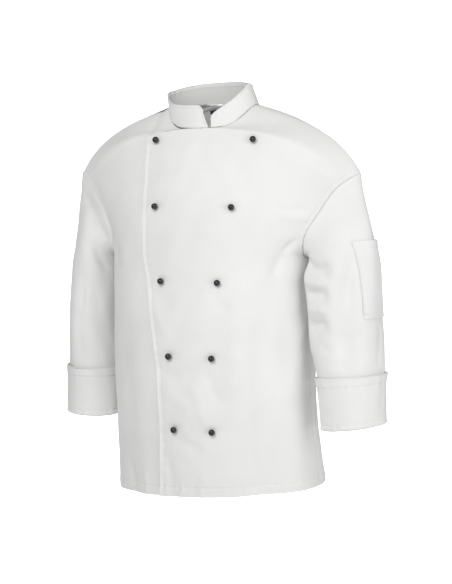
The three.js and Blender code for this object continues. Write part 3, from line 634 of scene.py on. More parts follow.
def body_fold(stage, across, point):
    """How far the body's folds, creases and button dimples move it out."""
    around = np.degrees(np.arctan2(point[..., 0], -point[..., 1]))
    z = point[..., 2]
    inside = np.minimum(stage - UNDERARM, BACK_UNDERARM - stage)
    beside = ease(1 + inside / BELOW_ARMHOLE_CALM)
    calm = 1 - beside * (1 - ease((1 - np.abs(across)) / ARMHOLE_CALM))
    folds = fold_out(BODY_FOLDS, BODY_FOLD_RADIUS, around, z)
    creases = fold_out(BODY_CREASES, BODY_FOLD_RADIUS, around, z)
    waves = BODY_RIPPLE * ripple(3, np.radians(around) * BODY_FOLD_RADIUS, z)
    neck = ease(np.abs(z - THROAT_HEIGHT) / 60 + (stage < THROAT) * 0.3)
    total = calm * (folds + creases + waves * neck)
    front = stage < SHOULDER
    for side, sign in (("left", 1), ("right", -1)):
        for out, height in zip(BUTTONS[side], BUTTONS["z"]):
            wide = (point[..., 0] - sign * out) / DIMPLE_WIDE
            high = (z - height) / DIMPLE_HIGH
            total = total - front * DIMPLE_DEPTH * np.exp(-(wide**2) - high**2)
    return total


def sleeve_fold(side, turn, down, z):
    """How far the sleeve's folds and creases move it out."""
    around = turn * 360
    folds = fold_out(SLEEVE_FOLDS[side], SLEEVE_FOLD_RADIUS, around, z)
    creases = fold_out(SLEEVE_CREASES[side], SLEEVE_FOLD_RADIUS, around, z)
    around_mm = SLEEVE_FOLD_RADIUS * np.sin(turn * 2 * np.pi) * 2
    waves = SLEEVE_RIPPLE * ripple(5 + (side == "left"), around_mm, z)
    return (folds + creases + waves) * ease(down / SEAM_CALM)


def graded(length, coarse, fine=1.3, start=0, end=0):
    """Shares from 0 to 1 of a length, closer together over the sewing near its ends."""
    at = np.linspace(0, length, 4001)
    near = np.zeros_like(at)
    if start:
        near = np.maximum(near, 1 - ease((at - start) / GRADE_RUN))
    if end:
        near = np.maximum(near, 1 - ease((length - end - at) / GRADE_RUN))
    spacing = coarse + (fine - coarse) * near
    count = np.concatenate([[0], np.cumsum((at[1] - at[0]) / spacing[1:])])
    whole = max(1, round(count[-1]))
    return np.interp(np.linspace(0, count[-1], whole + 1), count, at) / length


GRADE_RUN = 12
BODY_SPACING = 4.2
SLEEVE_SPACING = 3.8
RIM_STEPS = 4
RIM_INSET = 0.8


class Layer:
    """A grid of points on a piece's outer face, with its inner face under it."""

    def __init__(self, outer, wall, facing, closed=False, middle=0, inner=None):
        self.outer = outer
        self.normal = grid_normals(outer, facing, closed)
        self.inner = outer - self.normal * wall if inner is None else inner
        across = np.linalg.norm(np.diff(outer, axis=1), axis=-1)
        along = np.linalg.norm(np.diff(outer[:, middle], axis=0), axis=-1)
        u = np.concatenate([np.zeros((len(outer), 1)), np.cumsum(across, axis=1)], axis=1)
        v = np.concatenate([[0], np.cumsum(along)])
        u = u - u[:, middle][:, None]
        self.uv = np.stack(np.broadcast_arrays(u, v[:, None]), axis=-1) / 1000


def grid_normals(outer, facing, closed):
    """Unit normals of a grid, on the side that facing points to."""
    if closed:
        padded = np.concatenate([outer[:, -2:-1], outer, outer[:, 1:2]], axis=1)
        along = padded[:, 2:] - padded[:, :-2]
    else:
        along = np.gradient(outer, axis=1)
    normal = unit(np.cross(along, np.gradient(outer, axis=0)))
    sign = np.sign(np.sum(normal * facing, axis=-1, keepdims=True))
    return normal * np.where(sign == 0, 1, sign)


def edge_distance(outer, edge):
    """Distance over the cloth of each point of a grid from one of its edges."""
    axis = 0 if edge in ("bottom", "top") else 1
    step = np.linalg.norm(np.diff(outer, axis=axis), axis=-1)
    if edge in ("top", "end"):
        step = np.flip(step, axis)
    total = np.cumsum(step, axis=axis)
    total = np.concatenate([np.zeros_like(total.take([0], axis)), total], axis=axis)
    return np.flip(total, axis) if edge in ("top", "end") else total


def line_from(layer, edge, distance):
    """A line on a layer at a distance from one edge, with the cloth's normals."""
    far = edge_distance(layer.outer, edge)
    if edge in ("bottom", "top"):
        far, points_of, normals_of = far.T, layer.outer.transpose(1, 0, 2), layer.normal.transpose(1, 0, 2)
    else:
        points_of, normals_of = layer.outer, layer.normal
    line, facing = [], []
    for row, places, normals in zip(far, points_of, normals_of):
        order = np.argsort(row)
        line.append([np.interp(distance, row[order], places[order, k]) for k in range(3)])
        facing.append([np.interp(distance, row[order], normals[order, k]) for k in range(3)])
    return np.array(line), unit(np.array(facing))


def to_metres(millimetres):
    return (millimetres + np.array([0, -NAPE_Y, -NAPE_HEIGHT])) / 1000


def make_mesh(name, vertices, faces, corner_uv=None):
    """A smooth mesh object from vertices in millimetres and faces of one size."""
    mesh = bpy.data.meshes.new(name)
    sides = faces.shape[1]
    mesh.vertices.add(len(vertices))
    mesh.vertices.foreach_set("co", to_metres(vertices).astype(np.float32).ravel())
    mesh.loops.add(faces.size)
    mesh.loops.foreach_set("vertex_index", faces.astype(np.int32).ravel())
    mesh.polygons.add(len(faces))
    mesh.polygons.foreach_set("loop_start", np.arange(0, faces.size, sides, dtype=np.int32))
    mesh.polygons.foreach_set("use_smooth", np.ones(len(faces), bool))
    if corner_uv is not None:
        mesh.uv_layers.new(name="cloth").data.foreach_set("uv", corner_uv.astype(np.float32).ravel())
    mesh.update(calc_edges=True)
    mesh.validate()
    piece = bpy.data.objects.new(name, mesh)
    bpy.context.scene.collection.objects.link(piece)
    return piece


def cloth_shell(name, *layers):
    """One closed shell of cloth with rounded edges, from layers that share their common points."""
    outer = np.concatenate([layer.outer.reshape(-1, 3) for layer in layers])
    inner = np.concatenate([layer.inner.reshape(-1, 3) for layer in layers])
    uv = np.concatenate([layer.uv.reshape(-1, 2) for layer in layers])
    quads, start = [], 0
    for layer in layers:
        rows, columns = layer.outer.shape[:2]
        at = start + np.arange(rows * columns).reshape(rows, columns)
        start += rows * columns
        quads.append(np.stack([at[:-1, :-1], at[:-1, 1:], at[1:, 1:], at[1:, :-1]], axis=-1).reshape(-1, 4))
    quads = np.concatenate(quads)
    keys = np.round(outer, 3) + 0.0
    _, first, index = np.unique(keys, axis=0, return_index=True, return_inverse=True)
    index = index.ravel()
    outer, inner = outer[first], inner[first]
    corner_uv = uv[quads]
    quads = index[quads]
    whole = np.all(quads != np.roll(quads, 1, axis=1), axis=1)
    quads, corner_uv = quads[whole], corner_uv[whole]
    facing = np.cross(outer[quads[:, 2]] - outer[quads[:, 0]], outer[quads[:, 3]] - outer[quads[:, 1]])
    if np.mean(np.sum(facing * (outer - inner)[quads[:, 0]], axis=1)) < 0:
        quads, corner_uv = quads[:, ::-1], corner_uv[:, ::-1]
    count = len(outer)

    here, there = quads.ravel(), np.roll(quads, -1, axis=1).ravel()
    free = ~np.isin(here * count + there, there * count + here)
    here, there = here[free], there[free]
    half = (outer - inner) / 2
    edge_way = unit(outer[there] - outer[here])
    beyond = np.zeros_like(outer)
    np.add.at(beyond, here, edge_way)
    np.add.at(beyond, there, edge_way)
    beyond = unit(np.cross(beyond, half))
    radius = np.linalg.norm(half, axis=1, keepdims=True)
    on_rim = np.zeros(count, bool)
    on_rim[here] = True
    shift = np.where(on_rim[:, None], beyond * radius * RIM_INSET, 0)
    outer, inner = outer - shift, inner - shift
    rim = np.flatnonzero(on_rim)
    place = np.zeros(count, int)
    place[rim] = np.arange(len(rim))
    middle = (outer + inner) / 2
    rings = [np.arange(count)]
    vertices = [outer, inner]
    for k in range(1, RIM_STEPS):
        angle = np.pi * k / RIM_STEPS
        ring = middle + half * np.cos(angle) + beyond * radius * np.sin(angle)
        vertices.append(ring[rim])
        rings.append(2 * count + (k - 1) * len(rim) + place)
    rings.append(np.arange(count) + count)
    faces, uvs = [quads, quads[:, ::-1] + count], [corner_uv, corner_uv[:, ::-1]]
    rim_uv = uv[first]
    for upper, lower in zip(rings, rings[1:]):
        faces.append(np.stack([upper[there], upper[here], lower[here], lower[there]], axis=1))
        uvs.append(np.stack([rim_uv[there], rim_uv[here], rim_uv[here], rim_uv[there]], axis=1))
    return make_mesh(name, np.concatenate(vertices), np.concatenate(faces), np.concatenate(uvs))


# Sewing: hem bands, stitch lines and puckers beside them.
HEM_BAND = 17
OVERLAP_STITCH = 7
CUFF_TOP_BAND = 17
CUFF_FOLD_STITCH = 7
COLLAR_STITCH = 6
POCKET_BAND = 11
EDGE_STITCH = 2.2
SECOND_STITCH = 8
BAND_STEP = 0.7
BAND_STEP_RUN = 1.5
GROOVE_DEPTH = 0.9
GROOVE_WIDTH = 1.8
PUCKER_DEPTH = 0.9
PUCKER_REACH = 7
PUCKER_PITCH = 15
PUCKER_SWELL = 190
STITCH_PITCH = 3.4
STITCH_LENGTH = 2.6
THREAD_RADIUS = 0.26


def pucker(seed, along):
    """Uneven short waves along a stitch line."""
    rng = np.random.default_rng(seed)
    phases = rng.uniform(0, 2 * np.pi, 3)
    pitches = PUCKER_PITCH * np.array([1, 1.37, 0.74])
    wave = sum(np.sin(2 * np.pi * along / pitch + phase) for pitch, phase in zip(pitches, phases))
    swell = 0.6 + 0.4 * np.sin(2 * np.pi * along / PUCKER_SWELL + phases[0])
    return wave / 2 * swell


def sewn_line(away, along, at, seed):
    """How a stitch line at a distance from an edge moves the cloth out."""
    groove = -GROOVE_DEPTH * np.exp(-(((away - at) / GROOVE_WIDTH) ** 2))
    waves = PUCKER_DEPTH * pucker(seed, along) * np.exp(-(((away - at) / PUCKER_REACH) ** 2))
    step = BAND_STEP * (1 - ease((away - at) / BAND_STEP_RUN))
    return groove + waves + step


def sew(outer, facing, closed, *lines):
    """Moves a grid out where it is sewn. Each line names an edge, a distance from it and a seed."""
    moved = np.zeros(outer.shape[:2])
    for edge, at, seed in lines:
        away = edge_distance(outer, edge)
        side = 1 if edge in ("bottom", "top") else 0
        step = np.linalg.norm(np.diff(outer, axis=side), axis=-1).mean(axis=1 - side)
        along = np.concatenate([[0], np.cumsum(step)])
        along = along[None, :] if side else along[:, None]
        if closed and side:
            along = along * np.round(along.max() / PUCKER_PITCH) * PUCKER_PITCH / along.max()
        moved = moved + sewn_line(away, along, at, seed)
    if closed:
        moved[:, -1] = moved[:, 0]
    return outer + grid_normals(outer, facing, closed) * moved[..., None]


# Rough lengths of cloth, which set how many rows and columns its grids have.
LOWER_LENGTH = 440
CHEST_LENGTH = 240
YOKE_LENGTH = 120
HALF_WIDTH = 250
OVERLAP_WIDTH = 95
CAP_LENGTH = 150
ARM_LENGTH = 270
POCKET_WIDTH = 80

LOWER = UNDERARM * graded(LOWER_LENGTH, BODY_SPACING, start=HEM_BAND + 5)
CHEST = UNDERARM + graded(CHEST_LENGTH, BODY_SPACING)[1:]
NECK_ROWS = THROAT + graded(YOKE_LENGTH, BODY_SPACING, end=SECOND_STITCH + 4)[1:]
FRONT_ROWS = np.concatenate([LOWER, CHEST, NECK_ROWS])
HALF_COLUMNS = graded(HALF_WIDTH, BODY_SPACING, end=SECOND_STITCH + 4)
OVERLAP_COLUMNS = graded(OVERLAP_WIDTH, BODY_SPACING, start=OVERLAP_STITCH + 5)


def body_grid(rows, columns, depth=None):
    """Points on the folded body, and the way it faces."""
    stage, across = np.broadcast_arrays(rows[:, None], columns)
    point = body_point(stage, across)
    facing = body_normal(stage, across)
    out = body_fold(stage, across, point)
    if depth is not None:
        out = out - depth(point)
    return point + facing * out[..., None], facing


VALLEY_DEPTH = 2.2
VALLEY_WIDTH = 8
EDGE_LIFT = 1.4
EDGE_LIFT_REACH = 4


def under_depth(point):
    """The under front lies one layer deeper wherever the top front covers it."""
    edge = read(OVERLAP, "z", "out", np.clip(point[..., 2], HEM_HEIGHT, OVERLAP["z"][-1]))
    covered = ease((point[..., 0] + edge) / UNDER_BLEND + 1)
    valley = VALLEY_DEPTH * np.exp(-(((point[..., 0] + edge) / VALLEY_WIDTH) ** 2))
    return (BODY_WALL + FRONT_LAYER_GAP) * covered + valley


def beside_middle(columns):
    return np.maximum(columns, BESIDE_MIDDLE)


def front_layers(sign, depth, seed):
    """The main part and the overlap of a front, as two layers that share the centre line."""
    columns = sign * beside_middle(HALF_COLUMNS)
    grid, facing = body_grid(FRONT_ROWS, columns, depth)
    grid = sew(grid, facing, False, ("bottom", HEM_BAND, seed), ("end", SECOND_STITCH, seed + 1))
    rows = FRONT_ROWS[FRONT_ROWS <= THROAT]
    edge = across_at_width(rows, -sign * read(OVERLAP, "z", "out", centre_height(rows)))
    overlap_columns = edge[:, None] * (1 - OVERLAP_COLUMNS)
    flap, flap_facing = body_grid(rows, overlap_columns, depth)
    flap = sew(flap, flap_facing, False, ("start", OVERLAP_STITCH, seed + 2))
    hem = edge_distance(flap, "bottom")
    along = np.abs(flap[0, :, 0])[None, :]
    out = sewn_line(hem, along, HEM_BAND, seed)
    if depth is None:
        out = out + EDGE_LIFT * (1 - ease(edge_distance(flap, "start") / EDGE_LIFT_REACH))
    flap = flap + grid_normals(flap, flap_facing, False) * out[..., None]
    flap[:, -1] = grid[: len(rows), 0]
    return Layer(grid, BODY_WALL, facing), Layer(flap, BODY_WALL, flap_facing, middle=-1)


def back_layers():
    chest = NAPE + (THROAT + 1 - CHEST[::-1]) - 1
    lower = BACK_HEM - LOWER[::-1][1:]
    rows = np.unique(np.round(np.concatenate([chest, [BACK_UNDERARM], lower]), 9))
    columns = beside_middle(HALF_COLUMNS)
    full = np.concatenate([-HALF_COLUMNS[::-1], HALF_COLUMNS[1:]])
    width, facing = body_grid(rows, full)
    width = sew(width, facing, False, ("top", HEM_BAND, 41))
    yoke_rows = SHOULDER + graded(YOKE_LENGTH, BODY_SPACING, start=SECOND_STITCH + 4)
    left, left_facing = body_grid(yoke_rows, columns)
    right, right_facing = body_grid(yoke_rows, -columns[::-1])
    join = len(HALF_COLUMNS) - 1
    left[-1], right[-1] = width[0, join:], width[0, : join + 1]
    return (
        Layer(width, BODY_WALL, facing, middle=join),
        Layer(left, BODY_WALL, left_facing),
        Layer(right, BODY_WALL, right_facing, middle=-1),
    )


SLEEVE_TURNS = np.linspace(0, 1, 109)
CAP_ROWS = graded(CAP_LENGTH, SLEEVE_SPACING, start=4)
ARM_ROWS = 1 + graded(ARM_LENGTH, SLEEVE_SPACING)[1:]


def flip_side(side, points):
    """Turns points in the wearer's left form into the right one."""
    return points * np.array([1 if side == "left" else -1, 1, 1])


def folded_sleeve(side, turn, down):
    point = sleeve_point(side, turn, down)
    facing = sleeve_normal(side, turn, down)
    return point + facing * sleeve_fold(side, turn, down, point[..., 2])[..., None], facing


def sleeve_layer(side):
    rows = np.concatenate([CAP_ROWS, ARM_ROWS])
    down, turn = np.broadcast_arrays(rows[:, None], SLEEVE_TURNS)
    grid, facing = folded_sleeve(side, turn, down)
    grid[:, -1] = grid[:, 0]
    return Layer(flip_side(side, grid), BODY_WALL, flip_side(side, facing), closed=True)


def cuff_layer(side):
    """A cuff turned back round the sleeve's end: down its outside and round under the fold."""
    sections = SLEEVES[side]
    end, top = sections["z"][0], sections["z"][-1]
    height = CUFF_ROWS["up"][-1]
    shares = graded(height, SLEEVE_SPACING, 1.1, CUFF_TOP_BAND + 3, CUFF_FOLD_STITCH + 3)
    ups = height * (1 - shares)
    down = 1 + (top - (end + ups)) / (top - end)
    rows, turn = np.broadcast_arrays(down[:, None], SLEEVE_TURNS)
    base, facing = folded_sleeve(side, turn, np.minimum(rows, 2))
    flare = read(CUFF_ROWS, "up", "flare", ups)[:, None]
    outer = base + facing * (LAYER_GAP + CUFF_WALL + flare)[..., None]
    inner = base + facing * (LAYER_GAP + flare)[..., None]
    angles = np.linspace(0, np.pi / 2, 6)[1:]
    fold_outer, fold_inner = [], []
    bottom, face = base[-1], facing[-1]
    reach = LAYER_GAP + CUFF_WALL + BODY_WALL
    for angle in angles:
        out = -BODY_WALL + reach * np.cos(angle)
        drop = (LAYER_GAP + CUFF_WALL) * np.sin(angle)
        inside = -BODY_WALL + (LAYER_GAP + BODY_WALL) * np.cos(angle)
        fold_outer.append(bottom + face * out - np.array([0, 0, drop]))
        fold_inner.append(bottom + face * inside - np.array([0, 0, LAYER_GAP]) * np.sin(angle))
    outer = np.concatenate([outer, np.array(fold_outer)])
    inner = np.concatenate([inner, np.array(fold_inner)])
    facing = np.concatenate([facing, np.repeat(face[None], len(angles), axis=0)])
    body = slice(0, len(ups))
    lines = ("top", CUFF_FOLD_STITCH, 51), ("bottom", CUFF_TOP_BAND, 52)
    outer[body] = sew(outer[body], facing[body], True, *lines)
    outer[:, -1], inner[:, -1] = outer[:, 0], inner[:, 0]
    outer, inner, facing = (flip_side(side, part) for part in (outer, inner, facing))
    return Layer(outer, CUFF_WALL, facing, closed=True, inner=inner)


POCKET_TOP = -249
POCKET_FRONT_TURN = 0.38
POCKET_BACK_TURN = 0.61
POCKET_LENGTH = 140
POCKET_MOUTH = 2.5
POCKET_MOUTH_REACH = 14


def pocket_layer():
    """The patch on the left sleeve, moved out from the sleeve's own points."""
    rows = graded(POCKET_LENGTH, SLEEVE_SPACING, start=POCKET_BAND + 4, end=SECOND_STITCH)
    columns = graded(POCKET_WIDTH, SLEEVE_SPACING, start=SECOND_STITCH, end=SECOND_STITCH)
    z, turn = np.broadcast_arrays(
        POCKET_TOP - POCKET_LENGTH * rows[:, None],
        POCKET_FRONT_TURN + (POCKET_BACK_TURN - POCKET_FRONT_TURN) * columns,
    )
    above = lambda t: sleeve_point("left", turn, t)[..., 2] > z
    down = halve(np.zeros(z.shape), np.full(z.shape, 2.0), above)
    base, facing = folded_sleeve("left", turn, down)
    outer = base + facing * (PATCH_GAP + PATCH_WALL)
    sides = [(edge, EDGE_STITCH, seed) for edge, seed in (("top", 62), ("start", 63), ("end", 64))]
    sewn = sew(outer, facing, False, ("bottom", POCKET_BAND, 61), *sides)
    mouth = np.exp(-edge_distance(sewn, "bottom") / POCKET_MOUTH_REACH)
    sag = POCKET_MOUTH * mouth * np.sin(np.pi * columns)
    return Layer(sewn + facing * sag[..., None], PATCH_WALL, facing)


NECK_ROUND = NECK_HALF_WIDTH * 2 * np.pi


def collar_point(way, up):
    """The collar band's outer face. way runs round the neck from the left end to the right end."""
    right_end = 360 + COLLAR_RIGHT_END - COLLAR_RIGHT_END_LEAN * up
    degrees = COLLAR_LEFT_END + (right_end - COLLAR_LEFT_END) * way
    angle = np.radians(degrees)
    rise = SEAM_GAP + (COLLAR_HEIGHT - read(COLLAR_TOP, "angle", "drop", degrees)) * up
    lean = read(COLLAR_TOP, "angle", "lean", degrees) * up
    point = neck_point(angle)
    return point + points(-np.sin(angle) * lean, np.cos(angle) * lean, rise)


def collar_reach(way):
    """The height that the collar reaches near its rounded end corners."""
    corner = np.where(way < 0.5, COLLAR_LEFT_CORNER, COLLAR_RIGHT_CORNER)
    from_end = np.minimum(way, 1 - way) * NECK_ROUND
    missing = np.clip(corner - from_end, 0, None)
    short = corner - np.sqrt(corner**2 - missing**2)
    return 1 - short / COLLAR_HEIGHT


def collar_layer():
    ways = graded(NECK_ROUND, SLEEVE_SPACING, fine=1.1, start=COLLAR_STITCH + 4, end=COLLAR_STITCH + 4)
    ups = graded(COLLAR_HEIGHT, 3, fine=1.1, start=EDGE_STITCH + 2, end=COLLAR_STITCH + 3)
    up, way = np.broadcast_arrays(ups[:, None], ways)
    grid = collar_point(way, up * collar_reach(way))
    facing = unit(np.cross(np.gradient(grid, axis=1), np.gradient(grid, axis=0)))
    lines = [(edge, COLLAR_STITCH, seed) for edge, seed in (("top", 71), ("start", 72), ("end", 73))]
    return Layer(sew(grid, facing, False, *lines), COLLAR_WALL, facing)


LABEL_HALF_WIDTH = 41
LABEL_HEIGHT = 22
LABEL_DROP = 2
LABEL_DEPTH = 1.3


def label_layer():
    """The plain label inside the back neck."""
    heights = NAPE_HEIGHT - LABEL_DROP - LABEL_HEIGHT * np.linspace(0, 1, 12)
    above = lambda t: centre_height(t) > heights
    rows = halve(np.full(12, float(NAPE)), np.full(12, float(BACK_UNDERARM)), above)
    edge = across_at_width(rows, LABEL_HALF_WIDTH)
    stage, across = np.broadcast_arrays(rows[:, None], edge[:, None] * np.linspace(-1, 1, 31))
    facing = body_normal(stage, across)
    outer = body_point(stage, across) - facing * (BODY_WALL + LABEL_DEPTH)
    return Layer(outer, LABEL_WALL, facing)


BUTTON_RADIUS = 6
SHANK_RADIUS = 2
SHANK_LENGTH = 1.6


def place_on_front(x, z):
    """A point on the top front's outer face, its normal and the way to the wearer's left on it."""
    stage, across = find_on_front(np.array([x - 1, x, x + 1.0]), np.full(3, float(z)))
    base = body_point(stage, across)
    facing = body_normal(stage, across)
    at = base + facing * body_fold(stage, across, base)[..., None]
    return at[1], facing[1], unit(at[2] - at[0])


def ball_button(name, at, facing, sideways):
    """A glossy ball on a short shank."""
    start = np.arcsin(SHANK_RADIUS / BUTTON_RADIUS)
    angles = np.linspace(start, np.pi - 0.02, 26)
    centre = SHANK_LENGTH + BUTTON_RADIUS
    profile = [(SHANK_RADIUS * 1.5, -0.6), (SHANK_RADIUS, 0.2), (SHANK_RADIUS, SHANK_LENGTH * 0.6)]
    profile += [(BUTTON_RADIUS * np.sin(a), centre - BUTTON_RADIUS * np.cos(a)) for a in angles]
    profile = np.array(profile)
    spin = np.linspace(0, 2 * np.pi, 40, endpoint=False)
    other = np.cross(facing, sideways)
    ring = np.cos(spin)[:, None] * sideways + np.sin(spin)[:, None] * other
    vertices = at + profile[:, 0, None, None] * ring + (profile[:, 1, None] * facing)[:, None, :]
    rows, columns = vertices.shape[:2]
    index = np.arange(rows * columns).reshape(rows, columns)
    around = np.roll(index, -1, axis=1)
    faces = np.stack([index[:-1], around[:-1], around[1:], index[1:]], axis=-1).reshape(-1, 4)
    return make_mesh(name, vertices.reshape(-1, 3), faces)


def thread_faces(runs, rings, sides):
    """Faces of many short tubes of equal build."""
    index = np.arange(runs * rings * sides).reshape(runs, rings, sides)
    around = np.roll(index, -1, axis=2)
    return np.stack([index[:, :-1], around[:, :-1], around[:, 1:], index[:, 1:]], axis=-1).reshape(-1, 4)


STITCH_SHARES = np.array([0, 0.18, 0.5, 0.82, 1])
STITCH_LIFTS = np.array([-0.5, 0.12, 0.26, 0.12, -0.5])
STITCH_RADII = np.array([0.6, 1, 1, 1, 0.6]) * THREAD_RADIUS
STITCH_SIDES = 6


def stitches(lines):
    """Short threads along lines of (points, normals), each of which dives at both ends."""
    tubes = []
    spin = np.linspace(0, 2 * np.pi, STITCH_SIDES, endpoint=False)
    for line, facing in lines:
        step = np.linalg.norm(np.diff(line, axis=0), axis=1)
        far = np.concatenate([[0], np.cumsum(step)])
        starts = np.arange(STITCH_PITCH / 2, far[-1] - STITCH_LENGTH, STITCH_PITCH)
        at = starts[:, None] + STITCH_SHARES * STITCH_LENGTH
        centre = np.stack([np.interp(at, far, line[:, k]) for k in range(3)], axis=-1)
        normal = unit(np.stack([np.interp(at, far, facing[:, k]) for k in range(3)], axis=-1))
        along = unit(centre[:, -1:] - centre[:, :1])
        across = unit(np.cross(along, normal))
        centre = centre + normal * STITCH_LIFTS[:, None]
        ring = across[:, :, None] * np.cos(spin)[:, None] + normal[:, :, None] * np.sin(spin)[:, None]
        tubes.append((centre[:, :, None] + ring * STITCH_RADII[:, None, None]).reshape(-1, 3))
    vertices = np.concatenate(tubes)
    rings = len(STITCH_SHARES)
    return vertices, thread_faces(len(vertices) // (rings * STITCH_SIDES), rings, STITCH_SIDES)


HOLE_LENGTH = 19
HOLE_START = -4
HOLE_WELT = 0.75
HOLE_HALF_OPEN = 1.25
HOLE_RINGS = 49
HOLE_SIDES = 8


def buttonhole(at, facing, sideways):
    """The raised sewn rim of a buttonhole, which runs from the ball towards the wearer's left."""
    other = np.cross(facing, sideways)
    turn = np.linspace(0, 2 * np.pi, HOLE_RINGS)
    half = HOLE_LENGTH / 2
    along = HOLE_START + half + (half - 1.2) * np.cos(turn)
    aside = HOLE_HALF_OPEN * np.sign(np.sin(turn)) * np.abs(np.sin(turn)) ** 0.5
    centre = at + along[:, None] * sideways + aside[:, None] * other + facing * 0.25
    spin = np.linspace(0, 2 * np.pi, HOLE_SIDES, endpoint=False)
    away = unit(np.gradient(centre, axis=0))
    across = unit(np.cross(away, facing))
    ring = across[:, None] * np.cos(spin)[:, None] + facing * np.sin(spin)[:, None]
    return (centre[:, None] + ring * HOLE_WELT).reshape(-1, 3)


TWILL_PITCH = 0.00078
WAVE_PERIOD = 0.314


def noise(nodes, links, vector, scale, detail):
    node = nodes.new("ShaderNodeTexNoise")
    node.inputs["Scale"].default_value = scale
    node.inputs["Detail"].default_value = detail
    links.new(vector, node.inputs["Vector"])
    return node.outputs["Fac"]


def mottled(name, low, high, scale, detail=3):
    """A material whose colour drifts softly between two tones."""
    material = bpy.data.materials.new(name)
    material.use_nodes = True
    nodes, links = material.node_tree.nodes, material.node_tree.links
    shader = nodes["Principled BSDF"]
    place = nodes.new("ShaderNodeTexCoord").outputs["Object"]
    tone = nodes.new("ShaderNodeValToRGB")
    for element, position, colour in zip(tone.color_ramp.elements, (0.3, 0.7), (low, high)):
        element.position = position
        element.color = (*colour, 1)
    links.new(noise(nodes, links, place, scale, detail), tone.inputs["Fac"])
    links.new(tone.outputs["Color"], shader.inputs["Base Color"])
    return material, nodes, links, shader, place


def bump(nodes, links, height, distance, strength, under=None):
    node = nodes.new("ShaderNodeBump")
    node.inputs["Distance"].default_value = distance
    node.inputs["Strength"].default_value = strength
    links.new(height, node.inputs["Height"])
    if under is not None:
        links.new(under, node.inputs["Normal"])
    return node.outputs["Normal"]


def twill(nodes, links, vector, pitch):
    """Diagonal ribs, from real lengths in the piece's own coordinates."""
    node = nodes.new("ShaderNodeTexWave")
    node.wave_type = "BANDS"
    node.bands_direction = "DIAGONAL"
    node.inputs["Scale"].default_value = WAVE_PERIOD / pitch / np.sqrt(3)
    node.inputs["Distortion"].default_value = 0.6
    node.inputs["Detail"].default_value = 1
    links.new(vector, node.inputs["Vector"])
    return node.outputs["Fac"]


def cloth_material(name, low, high, pitch=TWILL_PITCH):
    """Matte woven cotton: twill ribs, soft handling creases and a faint nap."""
    material, nodes, links, shader, place = mottled(name, low, high, 9)
    uv = nodes.new("ShaderNodeTexCoord").outputs["UV"]
    soft = bump(nodes, links, noise(nodes, links, place, 38, 2), 0.0012, 0.5)
    ribs = bump(nodes, links, twill(nodes, links, uv, pitch), 0.00012, 0.6, soft)
    links.new(ribs, shader.inputs["Normal"])
    shader.inputs["Roughness"].default_value = 0.9
    shader.inputs["Specular IOR Level"].default_value = 0.25
    shader.inputs["Sheen Weight"].default_value = 0.15
    shader.inputs["Sheen Roughness"].default_value = 0.5
    return material


def thread_material(name):
    material, _, _, shader, _ = mottled(name, (0.78, 0.78, 0.76), (0.86, 0.86, 0.84), 400, 1)
    shader.inputs["Roughness"].default_value = 0.6
    return material


def button_material(name):
    material, _, _, shader, _ = mottled(name, (0.004, 0.004, 0.005), (0.009, 0.009, 0.010), 120)
    shader.inputs["Roughness"].default_value = 0.24
    shader.inputs["Coat Weight"].default_value = 0.3
    return material


def floor_material(name):
    material, _, _, shader, _ = mottled(name, (0.93, 0.93, 0.93), (0.95, 0.95, 0.95), 0.8)
    shader.inputs["Roughness"].default_value = 1
    shader.inputs["Specular IOR Level"].default_value = 0
    return material


CLOTH = cloth_material("white_twill", (0.80, 0.80, 0.79), (0.84, 0.84, 0.835))
LABEL_CLOTH = cloth_material("label_cloth", (0.024, 0.036, 0.10), (0.032, 0.048, 0.125), pitch=0.0005)
THREAD = thread_material("sewing_thread")
PLASTIC = button_material("button_plastic")


def dress(piece, material, slot, *nodes_of):
    """Gives a piece its material and its place in the frame."""
    piece.data.materials.append(material)
    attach(piece, "root")
    if nodes_of:
        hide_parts(*nodes_of)


def build_cloth():
    """Every cloth piece as a shell, with the lines that it is sewn along."""
    left, left_flap = front_layers(1, None, 11)
    right, right_flap = front_layers(-1, under_depth, 21)
    back = back_layers()
    sleeves = {side: sleeve_layer(side) for side in ("left", "right")}
    cuffs = {side: cuff_layer(side) for side in ("left", "right")}
    collar, pocket, label = collar_layer(), pocket_layer(), label_layer()
    shells = {
        "front_left": (left, left_flap),
        "front_right": (right, right_flap),
        "back": back,
        "collar": (collar,),
        **{f"sleeve_{side}": (layer,) for side, layer in sleeves.items()},
        **{f"cuff_{side}": (layer,) for side, layer in cuffs.items()},
        "sleeve_pocket": (pocket,),
        "neck_label": (label,),
    }
    sewn = [
        (left, "bottom", HEM_BAND),
        (left_flap, "bottom", HEM_BAND),
        (left_flap, "start", OVERLAP_STITCH),
        (right, "bottom", HEM_BAND),
        (back[0], "top", HEM_BAND),
        *((collar, edge, COLLAR_STITCH) for edge in ("top", "start", "end")),
        (collar, "bottom", EDGE_STITCH),
        (pocket, "bottom", POCKET_BAND),
        *((pocket, edge, EDGE_STITCH) for edge in ("top", "start", "end")),
    ]
    for front in (left, right):
        sewn += [(front, "end", EDGE_STITCH), (front, "end", SECOND_STITCH)]
    for cuff in cuffs.values():
        sewn += [(cuff, "bottom", CUFF_TOP_BAND), (cuff, "bottom", EDGE_STITCH)]
    return shells, [line_from(*line) for line in sewn]


def dress_cloth():
    shells, lines = build_cloth()
    for name, layers in shells.items():
        piece = cloth_shell(name + "_cloth", *layers)
        is_label = name == "neck_label"
        dress(piece, LABEL_CLOTH if is_label else CLOTH, "label" if is_label else "cloth", name)
    vertices, faces = stitches(lines)
    dress(make_mesh("stitching", vertices, faces), THREAD, "cloth")


